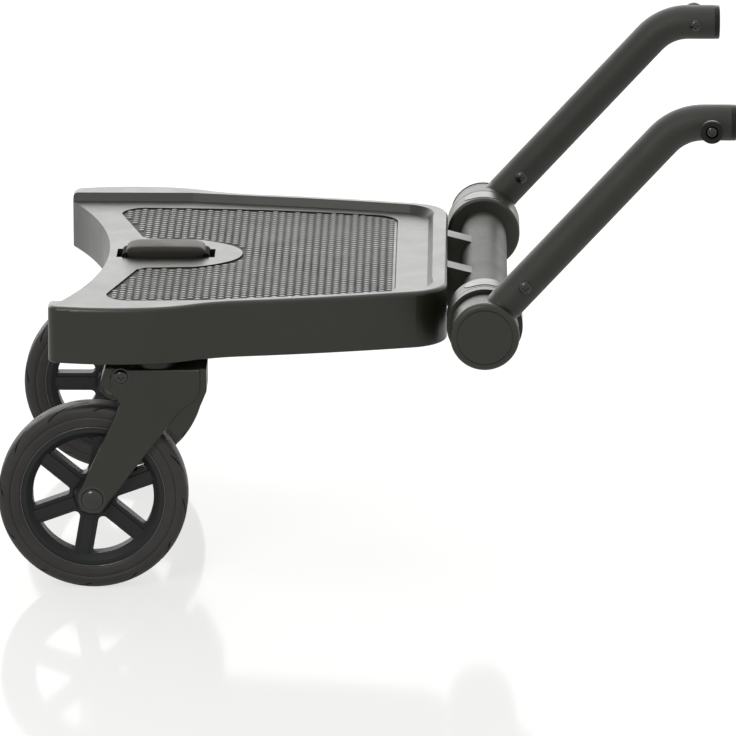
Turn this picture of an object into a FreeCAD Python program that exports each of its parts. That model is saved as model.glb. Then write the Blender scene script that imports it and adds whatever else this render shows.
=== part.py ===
"""Ride-on board that hooks on behind a pushchair.

Millimetres, +Z up, +X towards the pushchair. The origin is on the floor under the
middle of the board. "right" is the -Y side and "left" the +Y side.
"""
import FreeCAD
import Part
import Sketcher
import math
import os

Vector = FreeCAD.Vector
Rotation = FreeCAD.Rotation

# Driving dimensions
SIZES = {
    # fits and cuts
    "overrun": 2.0,
    "running_gap": 0.05,
    "moving_gap": 0.3,
    # wheels
    "wheel_radius": 76.0,
    "tyre_width": 26.0,
    "tyre_height": 14.5,
    "tyre_shoulder": 6.0,
    "tyre_bead": 2.0,
    "rim_width": 21.0,
    "rim_depth": 8.0,
    "rim_dish": 5.0,
    "web_thickness": 12.0,
    "spoke_width": 15.0,
    "spoke_ridge_width": 8.0,
    "spoke_ridge": 1.2,
    "window_corner": 4.0,
    "hub_radius": 13.5,
    "hub_length": 27.0,
    "hub_flare": 3.0,
    "bush_radius": 9.0,
    "axle_radius": 5.0,
    "axle_head_radius": 8.8,
    "axle_head_height": 3.6,
    "axle_nut_radius": 8.0,
    "axle_nut_height": 4.5,
    # casters
    "caster_inset": 33.5,
    "caster_trail": 51.0,
    "kingpin_setback": 231.5,
    "fork_slot": 29.0,
    "fork_cheek": 4.5,
    "fork_arch_gap": 9.0,
    "fork_head": 23.0,
    "fork_guard": 11.5,
    "fork_head_length": 71.0,
    "fork_boss_radius": 12.0,
    "fork_edge": 1.6,
    "fork_screw_radius": 5.8,
    "fork_screw_height": 3.0,
    "fork_screw_shank": 2.5,
    "fork_screw_length": 24.0,
    "kingpin_radius": 8.0,
    "kingpin_depth": 22.0,
    "kingpin_head_radius": 10.0,
    "kingpin_head_height": 3.0,
    "socket_radius": 12.0,
    "socket_length": 27.0,
    "socket_flange_radius": 18.0,
    "socket_flange": 7.5,
    # deck
    "deck_front": 65.0,
    "deck_length": 316.0,
    "deck_width": 403.0,
    "deck_height": 46.0,
    "deck_wall": 3.5,
    "deck_top_edge": 3.6,
    "deck_bottom_edge": 1.6,
    "rim_wall": 8.5,
    "tray_depth": 6.5,
    "tray_slope": 4.1,
    "front_rim": 12.0,
    "plate_thickness": 6.2,
    "rib_thickness": 2.5,
    "rib_short": 10.0,
    "rib_pitch_long": 57.0,
    "rib_pitch_cross": 48.0,
    "rib_first_long": 61.0,
    "rib_first_cross": 24.0,
    "caster_boss_radius": 20.0,
    # mat
    "mat_recess": 3.2,
    "mat_thickness": 2.0,
    "mat_gap": 0.3,
    "mat_length": 232.0,
    "mat_width": 302.0,
    "mat_front_setback": 41.5,
    # lift handle
    "handle_setback": 230.25,
    "grip_length": 65.5,
    "grip_width": 28.0,
    "grip_height": 12.0,
    "grip_sink": 4.5,
    "grip_end": 3.7,
    "grip_taper": 9.5,
    "grip_edge": 5.2,
    "grip_corner": 9.0,
    "strap_width": 24.0,
    "strap_thickness": 2.0,
    "strap_rise": 1.1,
    "slot_spacing": 74.0,
    "slot_length": 6.3,
    "slot_width": 27.0,
    "well_slope": 9.0,
    "well_margin": 2.0,
    "well_wall": 2.5,
    "stop_bar_length": 7.0,
    "stop_bar_width": 30.0,
    "stop_bar_height": 4.0,
    "lift_travel": 12.0,
    # cross tube and its brackets
    "hinge_reach": 30.0,
    "hinge_rise": 23.5,
    "cross_tube_radius": 19.0,
    "cross_tube_wall": 2.0,
    "cross_tube_insert": 20.0,
    "bracket_spread": 100.0,
    "bracket_width": 20.0,
    "bracket_top": 44.5,
    "bracket_drop": 6.0,
    "bracket_height": 33.0,
    "bracket_screw_radius": 2.0,
    "bracket_screw_head": 4.0,
    "bracket_screw_head_height": 3.0,
    "bracket_screw_length": 9.0,
    "bracket_screw_low": 17.0,
    "bracket_screw_pitch": 10.0,
    # angle joints
    "collar_spread": 259.0,
    "collar_length": 36.7,
    "collar_radius": 30.3,
    "collar_edge": 2.6,
    "collar_line_setback": 27.0,
    "collar_line_width": 1.0,
    "collar_line_depth": 0.8,
    "hinge_pin_radius": 9.0,
    "hinge_pin_insert": 16.0,
    "hinge_pin_head_radius": 14.0,
    "hinge_pin_head": 3.0,
    "knuckle_radius": 27.0,
    "knuckle_length": 29.5,
    "knuckle_step": 2.0,
    "knuckle_step_radius": 21.0,
    "knuckle_recess": 4.0,
    "knuckle_edge": 1.0,
    "cap_radius": 27.5,
    "cap_thickness": 5.0,
    "cap_edge": 4.0,
    "cap_groove_radius": 22.0,
    "cap_groove": 0.9,
    "button_length": 32.0,
    "button_width": 18.0,
    "button_centre": 13.5,
    "button_proud": 0.4,
    "button_travel": 2.2,
    "well_floor": 0.7,
    # arms
    "arm_root": 28.4,
    "arm_offset": 3.1,
    "arm_straight": 200.0,
    "arm_tip": 40.5,
    "arm_bend_radius": 43.0,
    "arm_side_gap": 0.55,
    "arm_tube_radius": 14.25,
    "arm_tube_wall": 1.6,
    "tang_insert": 32.0,
    "arm_bolt_setback": 22.0,
    "arm_bolt_radius": 2.5,
    "arm_bolt_head_radius": 5.0,
    "arm_bolt_head": 2.2,
    "peg_setback": 16.0,
    "peg_radius": 5.25,
    "peg_length": 20.75,
    "peg_disc_radius": 9.15,
    "peg_disc": 5.0,
    "peg_disc_edge": 1.0,
    "peg_saddle": 2.0,
    "peg_recess_radius": 5.2,
    "peg_recess": 2.4,
    "peg_bolt_radius": 2.5,
    "peg_bolt_head_radius": 4.8,
    "peg_bolt_head": 2.2,
    "plug_lip": 4.5,
    "plug_edge": 1.5,
    "plug_insert": 14.0,
}
SPOKE_COUNT = 6
SPOKE_PHASE_ANGLES = {"right": -10.0, "left": 30.0}
GUARD_END_ANGLE = 37.0
GUARD_START_ANGLE = 77.0
ARM_ANGLE = 47.5
WINDOW_HALF_ANGLE = 180.0 / SPOKE_COUNT
RIBS_LONG_COUNT = 5
RIBS_CROSS_COUNT = 4
SIDES = (("right", -1), ("left", 1))


class Length:
    """A length that knows both its value and its formula on the sheet."""

    def __init__(self, text, value):
        self.text = text
        self.value = value

    def __add__(self, other):
        return Length(f"({self.text} + {other.text})", self.value + other.value)

    def __sub__(self, other):
        return Length(f"({self.text} - {other.text})", self.value - other.value)

    def __neg__(self):
        return Length(f"(-1 * {self.text})", -self.value)

    def __mul__(self, factor):
        return Length(f"({self.text} * {factor!r})", self.value * factor)

    def __truediv__(self, divisor):
        return Length(f"({self.text} / {divisor!r})", self.value / divisor)


class Sizes:
    """The driving dimensions as attributes, one per row of the sheet."""

    def __init__(self, values):
        for name, value in values.items():
            setattr(self, name, Length(f"sizes.{name}", value))


def half_chord(radius, offset):
    """Half the width of a circle at a distance from its centre."""
    reach = math.sqrt(radius.value**2 - offset.value**2)
    return Length(f"sqrt({radius.text}^2 - {offset.text}^2)", reach)


ZERO = Length("0", 0.0)
s = Sizes(SIZES)
doc = FreeCAD.newDocument("buggy_board")
nodes = {}


def fill_sheet():
    """Write every driving dimension to the sheet under its alias."""
    sheet = doc.addObject("Spreadsheet::Sheet", "sizes")
    for row, (name, value) in enumerate(SIZES.items(), start=1):
        sheet.set(f"A{row}", name)
        sheet.set(f"B{row}", str(value))
        sheet.setAlias(f"B{row}", name)
    doc.recompute()


def bind(item, path, length):
    """Tie one property of a document object to the sheet."""
    item.setExpression(path, length.text)


def place(item, x=ZERO, y=ZERO, z=ZERO, rotation=None):
    """Put an object at a place that follows the sheet."""
    item.Placement = FreeCAD.Placement(Vector(x.value, y.value, z.value), rotation or Rotation())
    bind(item, "Placement.Base.x", x)
    bind(item, "Placement.Base.y", y)
    bind(item, "Placement.Base.z", z)
    return item


def keep(item, label):
    """Name a finished sub-part and list it for export."""
    item.Label = label
    nodes[label] = item
    return item


def towards(x, y, z):
    """Rotation that turns local +Z to a direction."""
    return Rotation(Vector(0, 0, 1), Vector(x, y, z))


# Sketches
def left(radius):
    """An arc that turns left on its way to the next corner."""
    return radius, 1


def right(radius):
    """An arc that turns right on its way to the next corner."""
    return radius, -1


def arc_between(start, end, radius, turn):
    """Arc of a circle from one corner to the next, and the order of its ends."""
    chord = end - start
    middle = (start + end) * 0.5
    height = math.sqrt(max(radius**2 - (chord.Length / 2) ** 2, 0.0))
    normal = Vector(-chord.y, chord.x, 0).normalize()
    centre = middle + normal * (turn * height)
    first = math.atan2(start.y - centre.y, start.x - centre.x)
    last = math.atan2(end.y - centre.y, end.x - centre.x)
    circle = Part.Circle(centre, Vector(0, 0, 1), radius)
    if turn > 0:
        return Part.ArcOfCircle(circle, first, last), (1, 2)
    return Part.ArcOfCircle(circle, last, first), (2, 1)


def constrain(sketch, kind, *where, length):
    """Add one driving constraint that follows the sheet."""
    index = sketch.addConstraint(Sketcher.Constraint(kind, *where, length.value))
    bind(sketch, f"Constraints[{index}]", length)


def pin_point(sketch, geometry, end, x, y):
    """Fix one point of a sketch at sheet-driven coordinates."""
    if x is ZERO:
        sketch.addConstraint(Sketcher.Constraint("PointOnObject", geometry, end, -2))
    else:
        constrain(sketch, "DistanceX", -1, 1, geometry, end, length=x)
    if y is ZERO:
        sketch.addConstraint(Sketcher.Constraint("PointOnObject", geometry, end, -1))
    else:
        constrain(sketch, "DistanceY", -1, 1, geometry, end, length=y)


def draw_loop(sketch, corners, closed=True):
    """Draw a run of lines and arcs through corners given as (x, y) or (x, y, bend)."""
    points = [Vector(corner[0].value, corner[1].value, 0) for corner in corners]
    spans = len(corners) if closed else len(corners) - 1
    ends = []
    for index in range(spans):
        start = points[index]
        end = points[(index + 1) % len(points)]
        if len(corners[index]) > 2:
            radius, turn = corners[index][2]
            curve, order = arc_between(start, end, radius.value, turn)
        else:
            curve, order = Part.LineSegment(start, end), (1, 2)
        ends.append((sketch.addGeometry(curve), *order))
    for index, (geometry, first, last) in enumerate(ends):
        if closed or index + 1 < spans:
            after = ends[(index + 1) % spans]
            sketch.addConstraint(Sketcher.Constraint("Coincident", geometry, last, after[0], after[1]))
        pin_point(sketch, geometry, first, corners[index][0], corners[index][1])
        if len(corners[index]) > 2:
            constrain(sketch, "Radius", geometry, length=corners[index][2][0])
    if not closed:
        pin_point(sketch, ends[-1][0], ends[-1][2], corners[-1][0], corners[-1][1])


def draw_circle(sketch, x, y, radius):
    """Draw one circle."""
    centre = Vector(x.value, y.value, 0)
    geometry = sketch.addGeometry(Part.Circle(centre, Vector(0, 0, 1), radius.value))
    pin_point(sketch, geometry, 3, x, y)
    constrain(sketch, "Radius", geometry, length=radius)


def mirrored(corners):
    """A half outline with its mirror image in the X axis, as one loop."""
    twins = []
    for index in range(len(corners) - 1, -1, -1):
        x, y = corners[index][:2]
        bend = corners[index - 1][2:] if index > 0 else ()
        twins.append((x, -y, *bend))
    return [*corners, *twins]


def block(x, y, width, depth):
    """Corners of a rectangle about a centre."""
    return [
        (x - width / 2, y - depth / 2),
        (x + width / 2, y - depth / 2),
        (x + width / 2, y + depth / 2),
        (x - width / 2, y + depth / 2),
    ]


def rounded_block(x, y, width, depth, radius):
    """Corners of a rectangle with rounded corners about a centre."""
    out_x, out_y = width / 2, depth / 2
    in_x, in_y = out_x - radius, out_y - radius
    return [
        (x - in_x, y - out_y),
        (x + in_x, y - out_y, left(radius)),
        (x + out_x, y - in_y),
        (x + out_x, y + in_y, left(radius)),
        (x + in_x, y + out_y),
        (x - in_x, y + out_y, left(radius)),
        (x - out_x, y + in_y),
        (x - out_x, y - in_y, left(radius)),
    ]


# Bodies made of sketches
def new_body(name):
    """Start a sub-part that is built of sketches."""
    return doc.addObject("PartDesign::Body", name)


def sketch_on(body, role, name, offset=ZERO):
    """Start a sketch on one of a body's own planes."""
    sketch = body.newObject("Sketcher::SketchObject", f"{body.Name}_{name}")
    plane = next(item for item in body.Origin.OriginFeatures if item.Role == role)
    sketch.AttachmentSupport = (plane, [""])
    sketch.MapMode = "FlatFace"
    if offset is not ZERO:
        bind(sketch, "AttachmentOffset.Base.z", offset)
    return sketch


def pad(body, sketch, length, symmetric=False):
    """Add material along a sketch's normal."""
    feature = body.newObject("PartDesign::Pad", f"{sketch.Name}_pad")
    feature.Profile = sketch
    feature.SideType = "Symmetric" if symmetric else "One side"
    bind(feature, "Length", length)
    return feature


def pocket(body, sketch, length, symmetric=False):
    """Cut material away below a sketch."""
    feature = body.newObject("PartDesign::Pocket", f"{sketch.Name}_pocket")
    feature.Profile = sketch
    feature.SideType = "Symmetric" if symmetric else "One side"
    bind(feature, "Length", length)
    return feature


def hollow_out(body, mouth, base):
    """Cut a hollow with sloping walls between two outlines."""
    feature = body.newObject("PartDesign::SubtractiveLoft", f"{mouth.Name}_loft")
    feature.Profile = mouth
    feature.Sections = [base]
    feature.Ruled = True
    return feature


def round_edges(body, wanted, radius):
    """Round the edges of a body's last feature that pass a test."""
    doc.recompute()
    base = body.Tip
    edges = enumerate(base.Shape.Edges, start=1)
    names = [f"Edge{number}" for number, edge in edges if wanted(edge)]
    feature = body.newObject("PartDesign::Fillet", f"{base.Name}_round")
    feature.Base = (base, names)
    bind(feature, "Radius", radius)
    return feature


def level_at(height):
    """Test for edges that lie flat at one height."""
    return lambda edge: (
        abs(edge.BoundBox.ZMin - height.value) < s.moving_gap.value
        and abs(edge.BoundBox.ZMax - height.value) < s.moving_gap.value
    )


def turned(name, corners):
    """A solid of revolution about local Z from its half section (radius, height)."""
    body = new_body(name)
    sketch = sketch_on(body, "XZ_Plane", "section")
    draw_loop(sketch, corners)
    feature = body.newObject("PartDesign::Revolution", f"{name}_turn")
    feature.Profile = sketch
    feature.ReferenceAxis = (sketch, ["V_Axis"])
    feature.Angle = 360.0
    return body


# Part primitives and booleans
def cylinder(name, radius, height):
    """A plain cylinder along local Z."""
    item = doc.addObject("Part::Cylinder", name)
    bind(item, "Radius", radius)
    bind(item, "Height", height)
    return item


def box(name, length, width, height):
    """A plain box from a corner."""
    item = doc.addObject("Part::Box", name)
    bind(item, "Length", length)
    bind(item, "Width", width)
    bind(item, "Height", height)
    return item


def fuse(name, items):
    """One solid out of several."""
    item = doc.addObject("Part::MultiFuse", name)
    item.Shapes = items
    item.Refine = True
    return item


def cut(name, base, tool):
    """A solid less another."""
    item = doc.addObject("Part::Cut", name)
    item.Base = base
    item.Tool = tool
    item.Refine = True
    return item


def common(name, base, tool):
    """What two solids share."""
    item = doc.addObject("Part::Common", name)
    item.Base = base
    item.Tool = tool
    return item


# Places worked out from the driving dimensions
axle_z = s.wheel_radius
fork_arch = s.wheel_radius + s.fork_arch_gap
fork_top = axle_z + fork_arch + s.fork_head
deck_bottom = fork_top + s.socket_flange
deck_top = deck_bottom + s.deck_height
tray_floor = deck_top - s.tray_depth
ceiling = tray_floor - s.plate_thickness
deck_rear = s.deck_front - s.deck_length
kingpin_x = s.deck_front - s.kingpin_setback
axle_x = kingpin_x - s.caster_trail
caster_y = s.deck_width / 2 - s.caster_inset
handle_x = s.deck_front - s.handle_setback
hinge_x = s.deck_front + s.hinge_reach
hinge_z = deck_bottom + s.hinge_rise
collar_inner = s.collar_spread / 2
collar_outer = collar_inner + s.collar_length
knuckle_inner = collar_outer + s.moving_gap
knuckle_outer = knuckle_inner + s.knuckle_length
cap_outer = knuckle_outer + s.cap_thickness
arm_y = collar_outer + s.arm_side_gap + s.arm_tube_radius


# Wheels
def make_tyre(side, sign):
    """Rubber tyre with rounded shoulders."""
    half = s.tyre_width / 2
    seat = s.wheel_radius - s.tyre_height
    shoulder = s.wheel_radius - s.tyre_shoulder
    tread = half - s.tyre_shoulder
    bead = half - s.tyre_bead
    tyre = turned(
        f"{side}_tyre",
        [
            (seat, -bead),
            (seat + s.tyre_bead, -half),
            (shoulder, -half, left(s.tyre_shoulder)),
            (s.wheel_radius, -tread),
            (s.wheel_radius, tread, left(s.tyre_shoulder)),
            (shoulder, half),
            (seat + s.tyre_bead, half),
            (seat, bead),
        ],
    )
    place(tyre, axle_x, caster_y * sign, axle_z, towards(0, sign, 0))
    return keep(tyre, f"{side}_tyre")


def repeat_round(rim, feature, sketch):
    """Repeat one feature of a rim for every spoke."""
    ring = rim.newObject("PartDesign::PolarPattern", f"{sketch.Name}_ring")
    ring.Originals = [feature]
    ring.Axis = (sketch, ["N_Axis"])
    ring.Angle = 360.0
    ring.Occurrences = SPOKE_COUNT
    rim.Tip = ring


def make_rim(side, sign):
    """Spoked rim: a dished wheel turned in one piece, with windows between ridged spokes."""
    seat = s.wheel_radius - s.tyre_height
    window_radius = seat - s.rim_depth - s.rim_dish
    edge = s.rim_width / 2
    web = s.web_thickness / 2
    hub_end = s.hub_length / 2
    half_section = [
        (s.bush_radius, hub_end),
        (s.hub_radius, hub_end),
        (s.hub_radius + s.hub_flare, web),
        (window_radius, web),
        (seat - s.rim_depth, edge),
        (seat, edge),
    ]
    lower = [(radius, -height) for radius, height in half_section]
    rim = turned(f"{side}_rim", [*lower, *reversed(half_section)])

    half_turn = math.radians(WINDOW_HALF_ANGLE)
    slope_share = (math.cos(half_turn), math.sin(half_turn))
    apex = s.spoke_width / (2 * slope_share[1])
    inner = s.window_corner / math.tan(half_turn)
    inner_x = apex + inner * slope_share[0]
    inner_y = inner * slope_share[1]
    across = apex * slope_share[1]
    along = half_chord(window_radius, across) - apex * slope_share[0]
    outer_x = apex + along * slope_share[0]
    outer_y = along * slope_share[1]
    window = sketch_on(rim, "XY_Plane", "window")
    draw_loop(
        window,
        [
            (inner_x, -inner_y),
            (outer_x, -outer_y, left(window_radius)),
            (outer_x, outer_y),
            (inner_x, inner_y, left(s.window_corner)),
        ],
    )
    opening = pocket(rim, window, s.rim_width + s.overrun, symmetric=True)
    repeat_round(rim, opening, window)

    ridge_end = window_radius + s.rim_dish / 2
    ridge_middle = (s.hub_radius + ridge_end) / 2
    ridge = sketch_on(rim, "XY_Plane", "ridge")
    draw_loop(ridge, block(ZERO, ridge_middle, s.spoke_ridge_width, ridge_end - s.hub_radius))
    rib = pad(rim, ridge, s.web_thickness + s.spoke_ridge * 2, symmetric=True)
    repeat_round(rim, rib, ridge)
    spin = Rotation(Vector(0, 0, 1), SPOKE_PHASE_ANGLES[side])
    place(rim, axle_x, caster_y * sign, axle_z, towards(0, sign, 0).multiply(spin))
    return keep(rim, f"{side}_rim")


def make_wheel_bush(side, sign):
    """Sleeve bearing pressed into the rim."""
    bore = s.axle_radius + s.running_gap
    end = s.fork_slot / 2 - s.moving_gap
    bush = turned(
        f"{side}_wheel_bush",
        [(bore, -end), (s.bush_radius, -end), (s.bush_radius, end), (bore, end)],
    )
    place(bush, axle_x, caster_y * sign, axle_z, towards(0, sign, 0))
    return keep(bush, f"{side}_wheel_bush")


# Casters
def on_fork(shares):
    """Places on a fork's head, from shares of its length about the stem and of its rise."""
    rise = fork_top - axle_z
    return {
        name: (kingpin_x + s.fork_head_length * along, axle_z + rise * up)
        for name, (along, up) in shares.items()
    }


def round_axle(radius, angle):
    """Place at a distance from the axle, at an angle above level."""
    turn = math.radians(angle)
    return axle_x + radius * math.cos(turn), axle_z + radius * math.sin(turn)


def fork_core_corners():
    """Side view of a fork's core, which stands proud of the cheeks and guards the wheel's front."""
    core_shares = {
        "rear_top": (-0.563, 1.0),
        "front_top": (0.573, 1.0),
        "front_low": (0.573, 0.83),
        "rear_low": (-0.5, 0.815),
        "rear_knee": (-0.59, 0.855),
        "rear_high": (-0.613, 0.9),
    }
    front_share = 3.4
    at = on_fork(core_shares)
    return [
        at["rear_top"],
        at["front_top"],
        (*at["front_low"], right(s.fork_head_length * front_share)),
        round_axle(fork_arch + s.fork_guard, GUARD_END_ANGLE),
        (*round_axle(fork_arch, GUARD_END_ANGLE), left(fork_arch)),
        round_axle(fork_arch, GUARD_START_ANGLE),
        at["rear_low"],
        at["rear_knee"],
        at["rear_high"],
    ]


def fork_cheek_corners():
    """Side view of a fork's cheeks: a broad head that narrows to the axle boss."""
    head_shares = {
        "rear_top": (-0.43, 1.0),
        "front_top": (0.5, 1.0),
        "front_low": (0.5, 0.866),
        "front_knee": (0.38, 0.7296),
        "leg_front": (0.2289, 0.6417),
        "leg_rear": (-0.4113, 0.7037),
        "heel": (-0.4458, 0.775),
        "rear_knee": (-0.502, 0.8366),
        "rear_high": (-0.502, 0.935),
    }
    at = on_fork(head_shares)
    foot_shares = {"front": (0.8, -0.6), "rear": (-0.9085, 0.4179)}
    foot = {
        name: (axle_x + s.fork_boss_radius * along, axle_z + s.fork_boss_radius * up)
        for name, (along, up) in foot_shares.items()
    }
    radius_shares = {"front_knee": 0.24, "waist": 0.507, "heel": 0.0845, "rear_knee": 0.1127}
    bend = {name: s.fork_head_length * share for name, share in radius_shares.items()}
    return [
        at["rear_top"],
        at["front_top"],
        (*at["front_low"], right(bend["front_knee"])),
        (*at["front_knee"], left(bend["waist"])),
        at["leg_front"],
        (*foot["front"], right(s.fork_boss_radius)),
        foot["rear"],
        (*at["leg_rear"], left(bend["heel"])),
        (*at["heel"], right(bend["rear_knee"])),
        at["rear_knee"],
        at["rear_high"],
    ]


def fork_screw_place():
    """Where the cross screw enters the fork's head."""
    screw_shares = {"screw": (-0.385, 0.945)}
    return on_fork(screw_shares)["screw"]


def make_fork(side, sign):
    """Fork with two cheeks on a core that arches over the wheel."""
    width = s.fork_slot + s.fork_cheek * 2
    body = new_body(f"{side}_fork_blank")
    cheeks = sketch_on(body, "XZ_Plane", "cheeks")
    draw_loop(cheeks, fork_cheek_corners())
    pad(body, cheeks, width, symmetric=True)
    half = width / 2

    def on_side(edge):
        low, high = edge.BoundBox.YMin, edge.BoundBox.YMax
        return high - low < s.moving_gap.value and abs(abs(low) - half.value) < s.moving_gap.value

    round_edges(body, on_side, s.fork_edge)
    arch = sketch_on(body, "XZ_Plane", "arch")
    draw_circle(arch, axle_x, axle_z, fork_arch)
    pocket(body, arch, s.fork_slot, symmetric=True)
    core = sketch_on(body, "XZ_Plane", "core")
    draw_loop(core, fork_core_corners())
    pad(body, core, s.fork_slot + s.fork_cheek, symmetric=True)

    screw_x, screw_z = fork_screw_place()
    stem_hole = place(
        cylinder(f"{side}_stem_hole", s.kingpin_radius, s.kingpin_depth + s.overrun),
        kingpin_x, ZERO, fork_top - s.kingpin_depth,
    )
    axle_hole = place(
        cylinder(f"{side}_axle_hole", s.axle_radius, width + s.overrun * 2),
        axle_x, -half - s.overrun, axle_z, towards(0, 1, 0),
    )
    screw_hole = place(
        cylinder(f"{side}_fork_screw_hole", s.fork_screw_shank, s.fork_screw_length + s.overrun),
        screw_x, (half + s.overrun) * sign, screw_z, towards(0, -sign, 0),
    )
    holes = fuse(f"{side}_fork_holes", [stem_hole, axle_hole, screw_hole])
    fork = cut(f"{side}_fork", body, holes)
    place(fork, y=caster_y * sign)
    return keep(fork, f"{side}_fork")


def make_fork_screw(side, sign):
    """Domed cross screw in the fork's head."""
    outer = caster_y + s.fork_slot / 2 + s.fork_cheek
    dome = s.fork_screw_radius / 2
    screw = turned(
        f"{side}_fork_screw",
        [
            (ZERO, -s.fork_screw_length),
            (s.fork_screw_shank, -s.fork_screw_length),
            (s.fork_screw_shank, ZERO),
            (s.fork_screw_radius, ZERO),
            (s.fork_screw_radius, s.fork_screw_height / 3, left(s.fork_screw_radius)),
            (dome, s.fork_screw_height),
            (ZERO, s.fork_screw_height),
        ],
    )
    x, z = fork_screw_place()
    place(screw, x, outer * sign, z, towards(0, sign, 0))
    return keep(screw, f"{side}_fork_screw")


def make_kingpin(side, sign):
    """Upright stem of a caster, with a snap head above its socket."""
    socket_end = s.socket_flange + s.socket_length
    head = socket_end + s.moving_gap
    kingpin = turned(
        f"{side}_kingpin",
        [
            (ZERO, -s.kingpin_depth),
            (s.kingpin_radius, -s.kingpin_depth),
            (s.kingpin_radius, head),
            (s.kingpin_head_radius, head),
            (s.kingpin_radius, head + s.kingpin_head_height),
            (ZERO, head + s.kingpin_head_height),
        ],
    )
    place(kingpin, kingpin_x, caster_y * sign, fork_top)
    return keep(kingpin, f"{side}_kingpin")


def make_stem_socket(side, sign):
    """Flanged bush that carries a caster's stem in the deck."""
    bore = s.kingpin_radius + s.running_gap
    flange_end = s.socket_flange
    socket_end = flange_end + s.socket_length
    socket = turned(
        f"{side}_stem_socket",
        [
            (bore, s.moving_gap),
            (s.socket_flange_radius, s.moving_gap),
            (s.socket_flange_radius, flange_end),
            (s.socket_radius, flange_end),
            (s.socket_radius, socket_end),
            (bore, socket_end),
        ],
    )
    place(socket, kingpin_x, caster_y * sign, fork_top)
    return keep(socket, f"{side}_stem_socket")


def make_axle(side, sign):
    """Axle with a domed head on the outer cheek."""
    cheek = s.fork_slot / 2 + s.fork_cheek
    crown = s.axle_head_radius / 2
    axle = turned(
        f"{side}_axle",
        [
            (ZERO, -cheek),
            (s.axle_radius, -cheek),
            (s.axle_radius, cheek),
            (s.axle_head_radius, cheek),
            (s.axle_head_radius, cheek + s.axle_head_height / 3, left(s.axle_head_radius)),
            (crown, cheek + s.axle_head_height),
            (ZERO, cheek + s.axle_head_height),
        ],
    )
    place(axle, axle_x, caster_y * sign, axle_z, towards(0, sign, 0))
    return keep(axle, f"{side}_axle")


def make_axle_nut(side, sign):
    """Push-on cap that holds the axle's inner end."""
    cheek = s.fork_slot / 2 + s.fork_cheek
    end = cheek + s.axle_nut_height
    nut = turned(
        f"{side}_axle_nut",
        [
            (ZERO, -end),
            (s.axle_radius, -end),
            (s.axle_nut_radius, -end + s.axle_nut_height / 2),
            (s.axle_nut_radius, -cheek),
            (ZERO, -cheek),
        ],
    )
    place(nut, axle_x, caster_y * sign, axle_z, towards(0, sign, 0))
    return keep(nut, f"{side}_axle_nut")


# Deck
def deck_corners():
    """Plan of the deck: hollowed rear, bulging lobes over the casters, tapered front."""
    outline_shares = {
        "rear_inner": (0.0, 0.853),
        "rear_outer": (0.0, 0.928),
        "lobe_rear": (0.0316, 0.9777),
        "lobe_front": (0.272, 0.985),
        "neck": (0.3576, 0.938),
        "side_rear": (0.484, 0.8725),
        "side_front": (0.921, 0.727),
        "front": (1.0, 0.565),
    }
    half = s.deck_width / 2
    at = {
        name: (deck_rear + s.deck_length * along, half * across)
        for name, (along, across) in outline_shares.items()
    }
    radius_shares = {
        "lobe_corner": 0.0317,
        "lobe": 0.64,
        "neck_out": 0.303,
        "neck_in": 0.393,
        "side": 3.66,
        "front_corner": 0.11,
        "rear": 1.25,
    }
    bend = {name: s.deck_length * share for name, share in radius_shares.items()}
    half_loop = [
        at["rear_inner"],
        (*at["rear_outer"], right(bend["lobe_corner"])),
        (*at["lobe_rear"], right(bend["lobe"])),
        (*at["lobe_front"], right(bend["neck_out"])),
        (*at["neck"], left(bend["neck_in"])),
        (*at["side_rear"], right(bend["side"])),
        (*at["side_front"], right(bend["front_corner"])),
        at["front"],
    ]
    loop = mirrored(half_loop)
    loop[-1] = (*loop[-1][:2], left(bend["rear"]))
    return loop


def tray_corners(inset):
    """Plan of the tray inside the rim, drawn in by an inset and run out past the open rear."""
    half = s.deck_width / 2
    inner_shares = {
        "waist_rear": (0.32, 0.879),
        "waist_front": (0.484, 0.8725),
        "side_front": (0.9, 0.735),
        "front": (1.0, 0.555),
    }
    at = {
        name: (deck_rear + s.deck_length * along, half * across - inset)
        for name, (along, across) in inner_shares.items()
    }
    side_share = 3.6
    corner_share = 0.1
    waist_x, waist_y = at["waist_front"]
    side_x, side_y = at["side_front"]
    front_x, front_y = at["front"]
    half_loop = [
        (deck_rear - s.front_rim, at["waist_rear"][1]),
        at["waist_rear"],
        (waist_x, waist_y - s.rim_wall, right(s.deck_length * side_share - inset)),
        (side_x, side_y - s.rim_wall, right(s.deck_length * corner_share - inset)),
        (front_x - s.front_rim - inset, front_y + inset - s.rim_wall),
    ]
    return mirrored(half_loop)


def mat_corners():
    """Plan of the mat, with a tongue left bare around the lift handle."""
    outline_shares = {
        "nose": (0.416, 0.166),
        "tongue_front": (0.295, 0.292),
        "tongue_rear": (0.123, 0.312),
        "rear_inner": (0.0926, 0.352),
        "rear_outer": (0.004, 0.86),
        "side_rear": (0.08, 1.0),
        "side_front": (0.93, 0.852),
        "front": (1.0, 0.73),
    }
    half = s.mat_width / 2
    rear = s.deck_front - s.mat_front_setback - s.mat_length
    at = {
        name: (rear + s.mat_length * along, half * across)
        for name, (along, across) in outline_shares.items()
    }
    radius_shares = {"nose": 0.165, "tongue": 0.34, "rear_corner": 0.087, "side": 4.2, "front_corner": 0.11}
    bend = {name: s.mat_length * share for name, share in radius_shares.items()}
    half_loop = [
        (*at["nose"], left(bend["tongue"])),
        at["tongue_front"],
        at["tongue_rear"],
        at["rear_inner"],
        (*at["rear_outer"], right(bend["rear_corner"])),
        (*at["side_rear"], right(bend["side"])),
        (*at["side_front"], right(bend["front_corner"])),
        at["front"],
    ]
    loop = mirrored(half_loop)
    loop[-1] = (*loop[-1][:2], left(bend["nose"]))
    return loop


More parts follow.
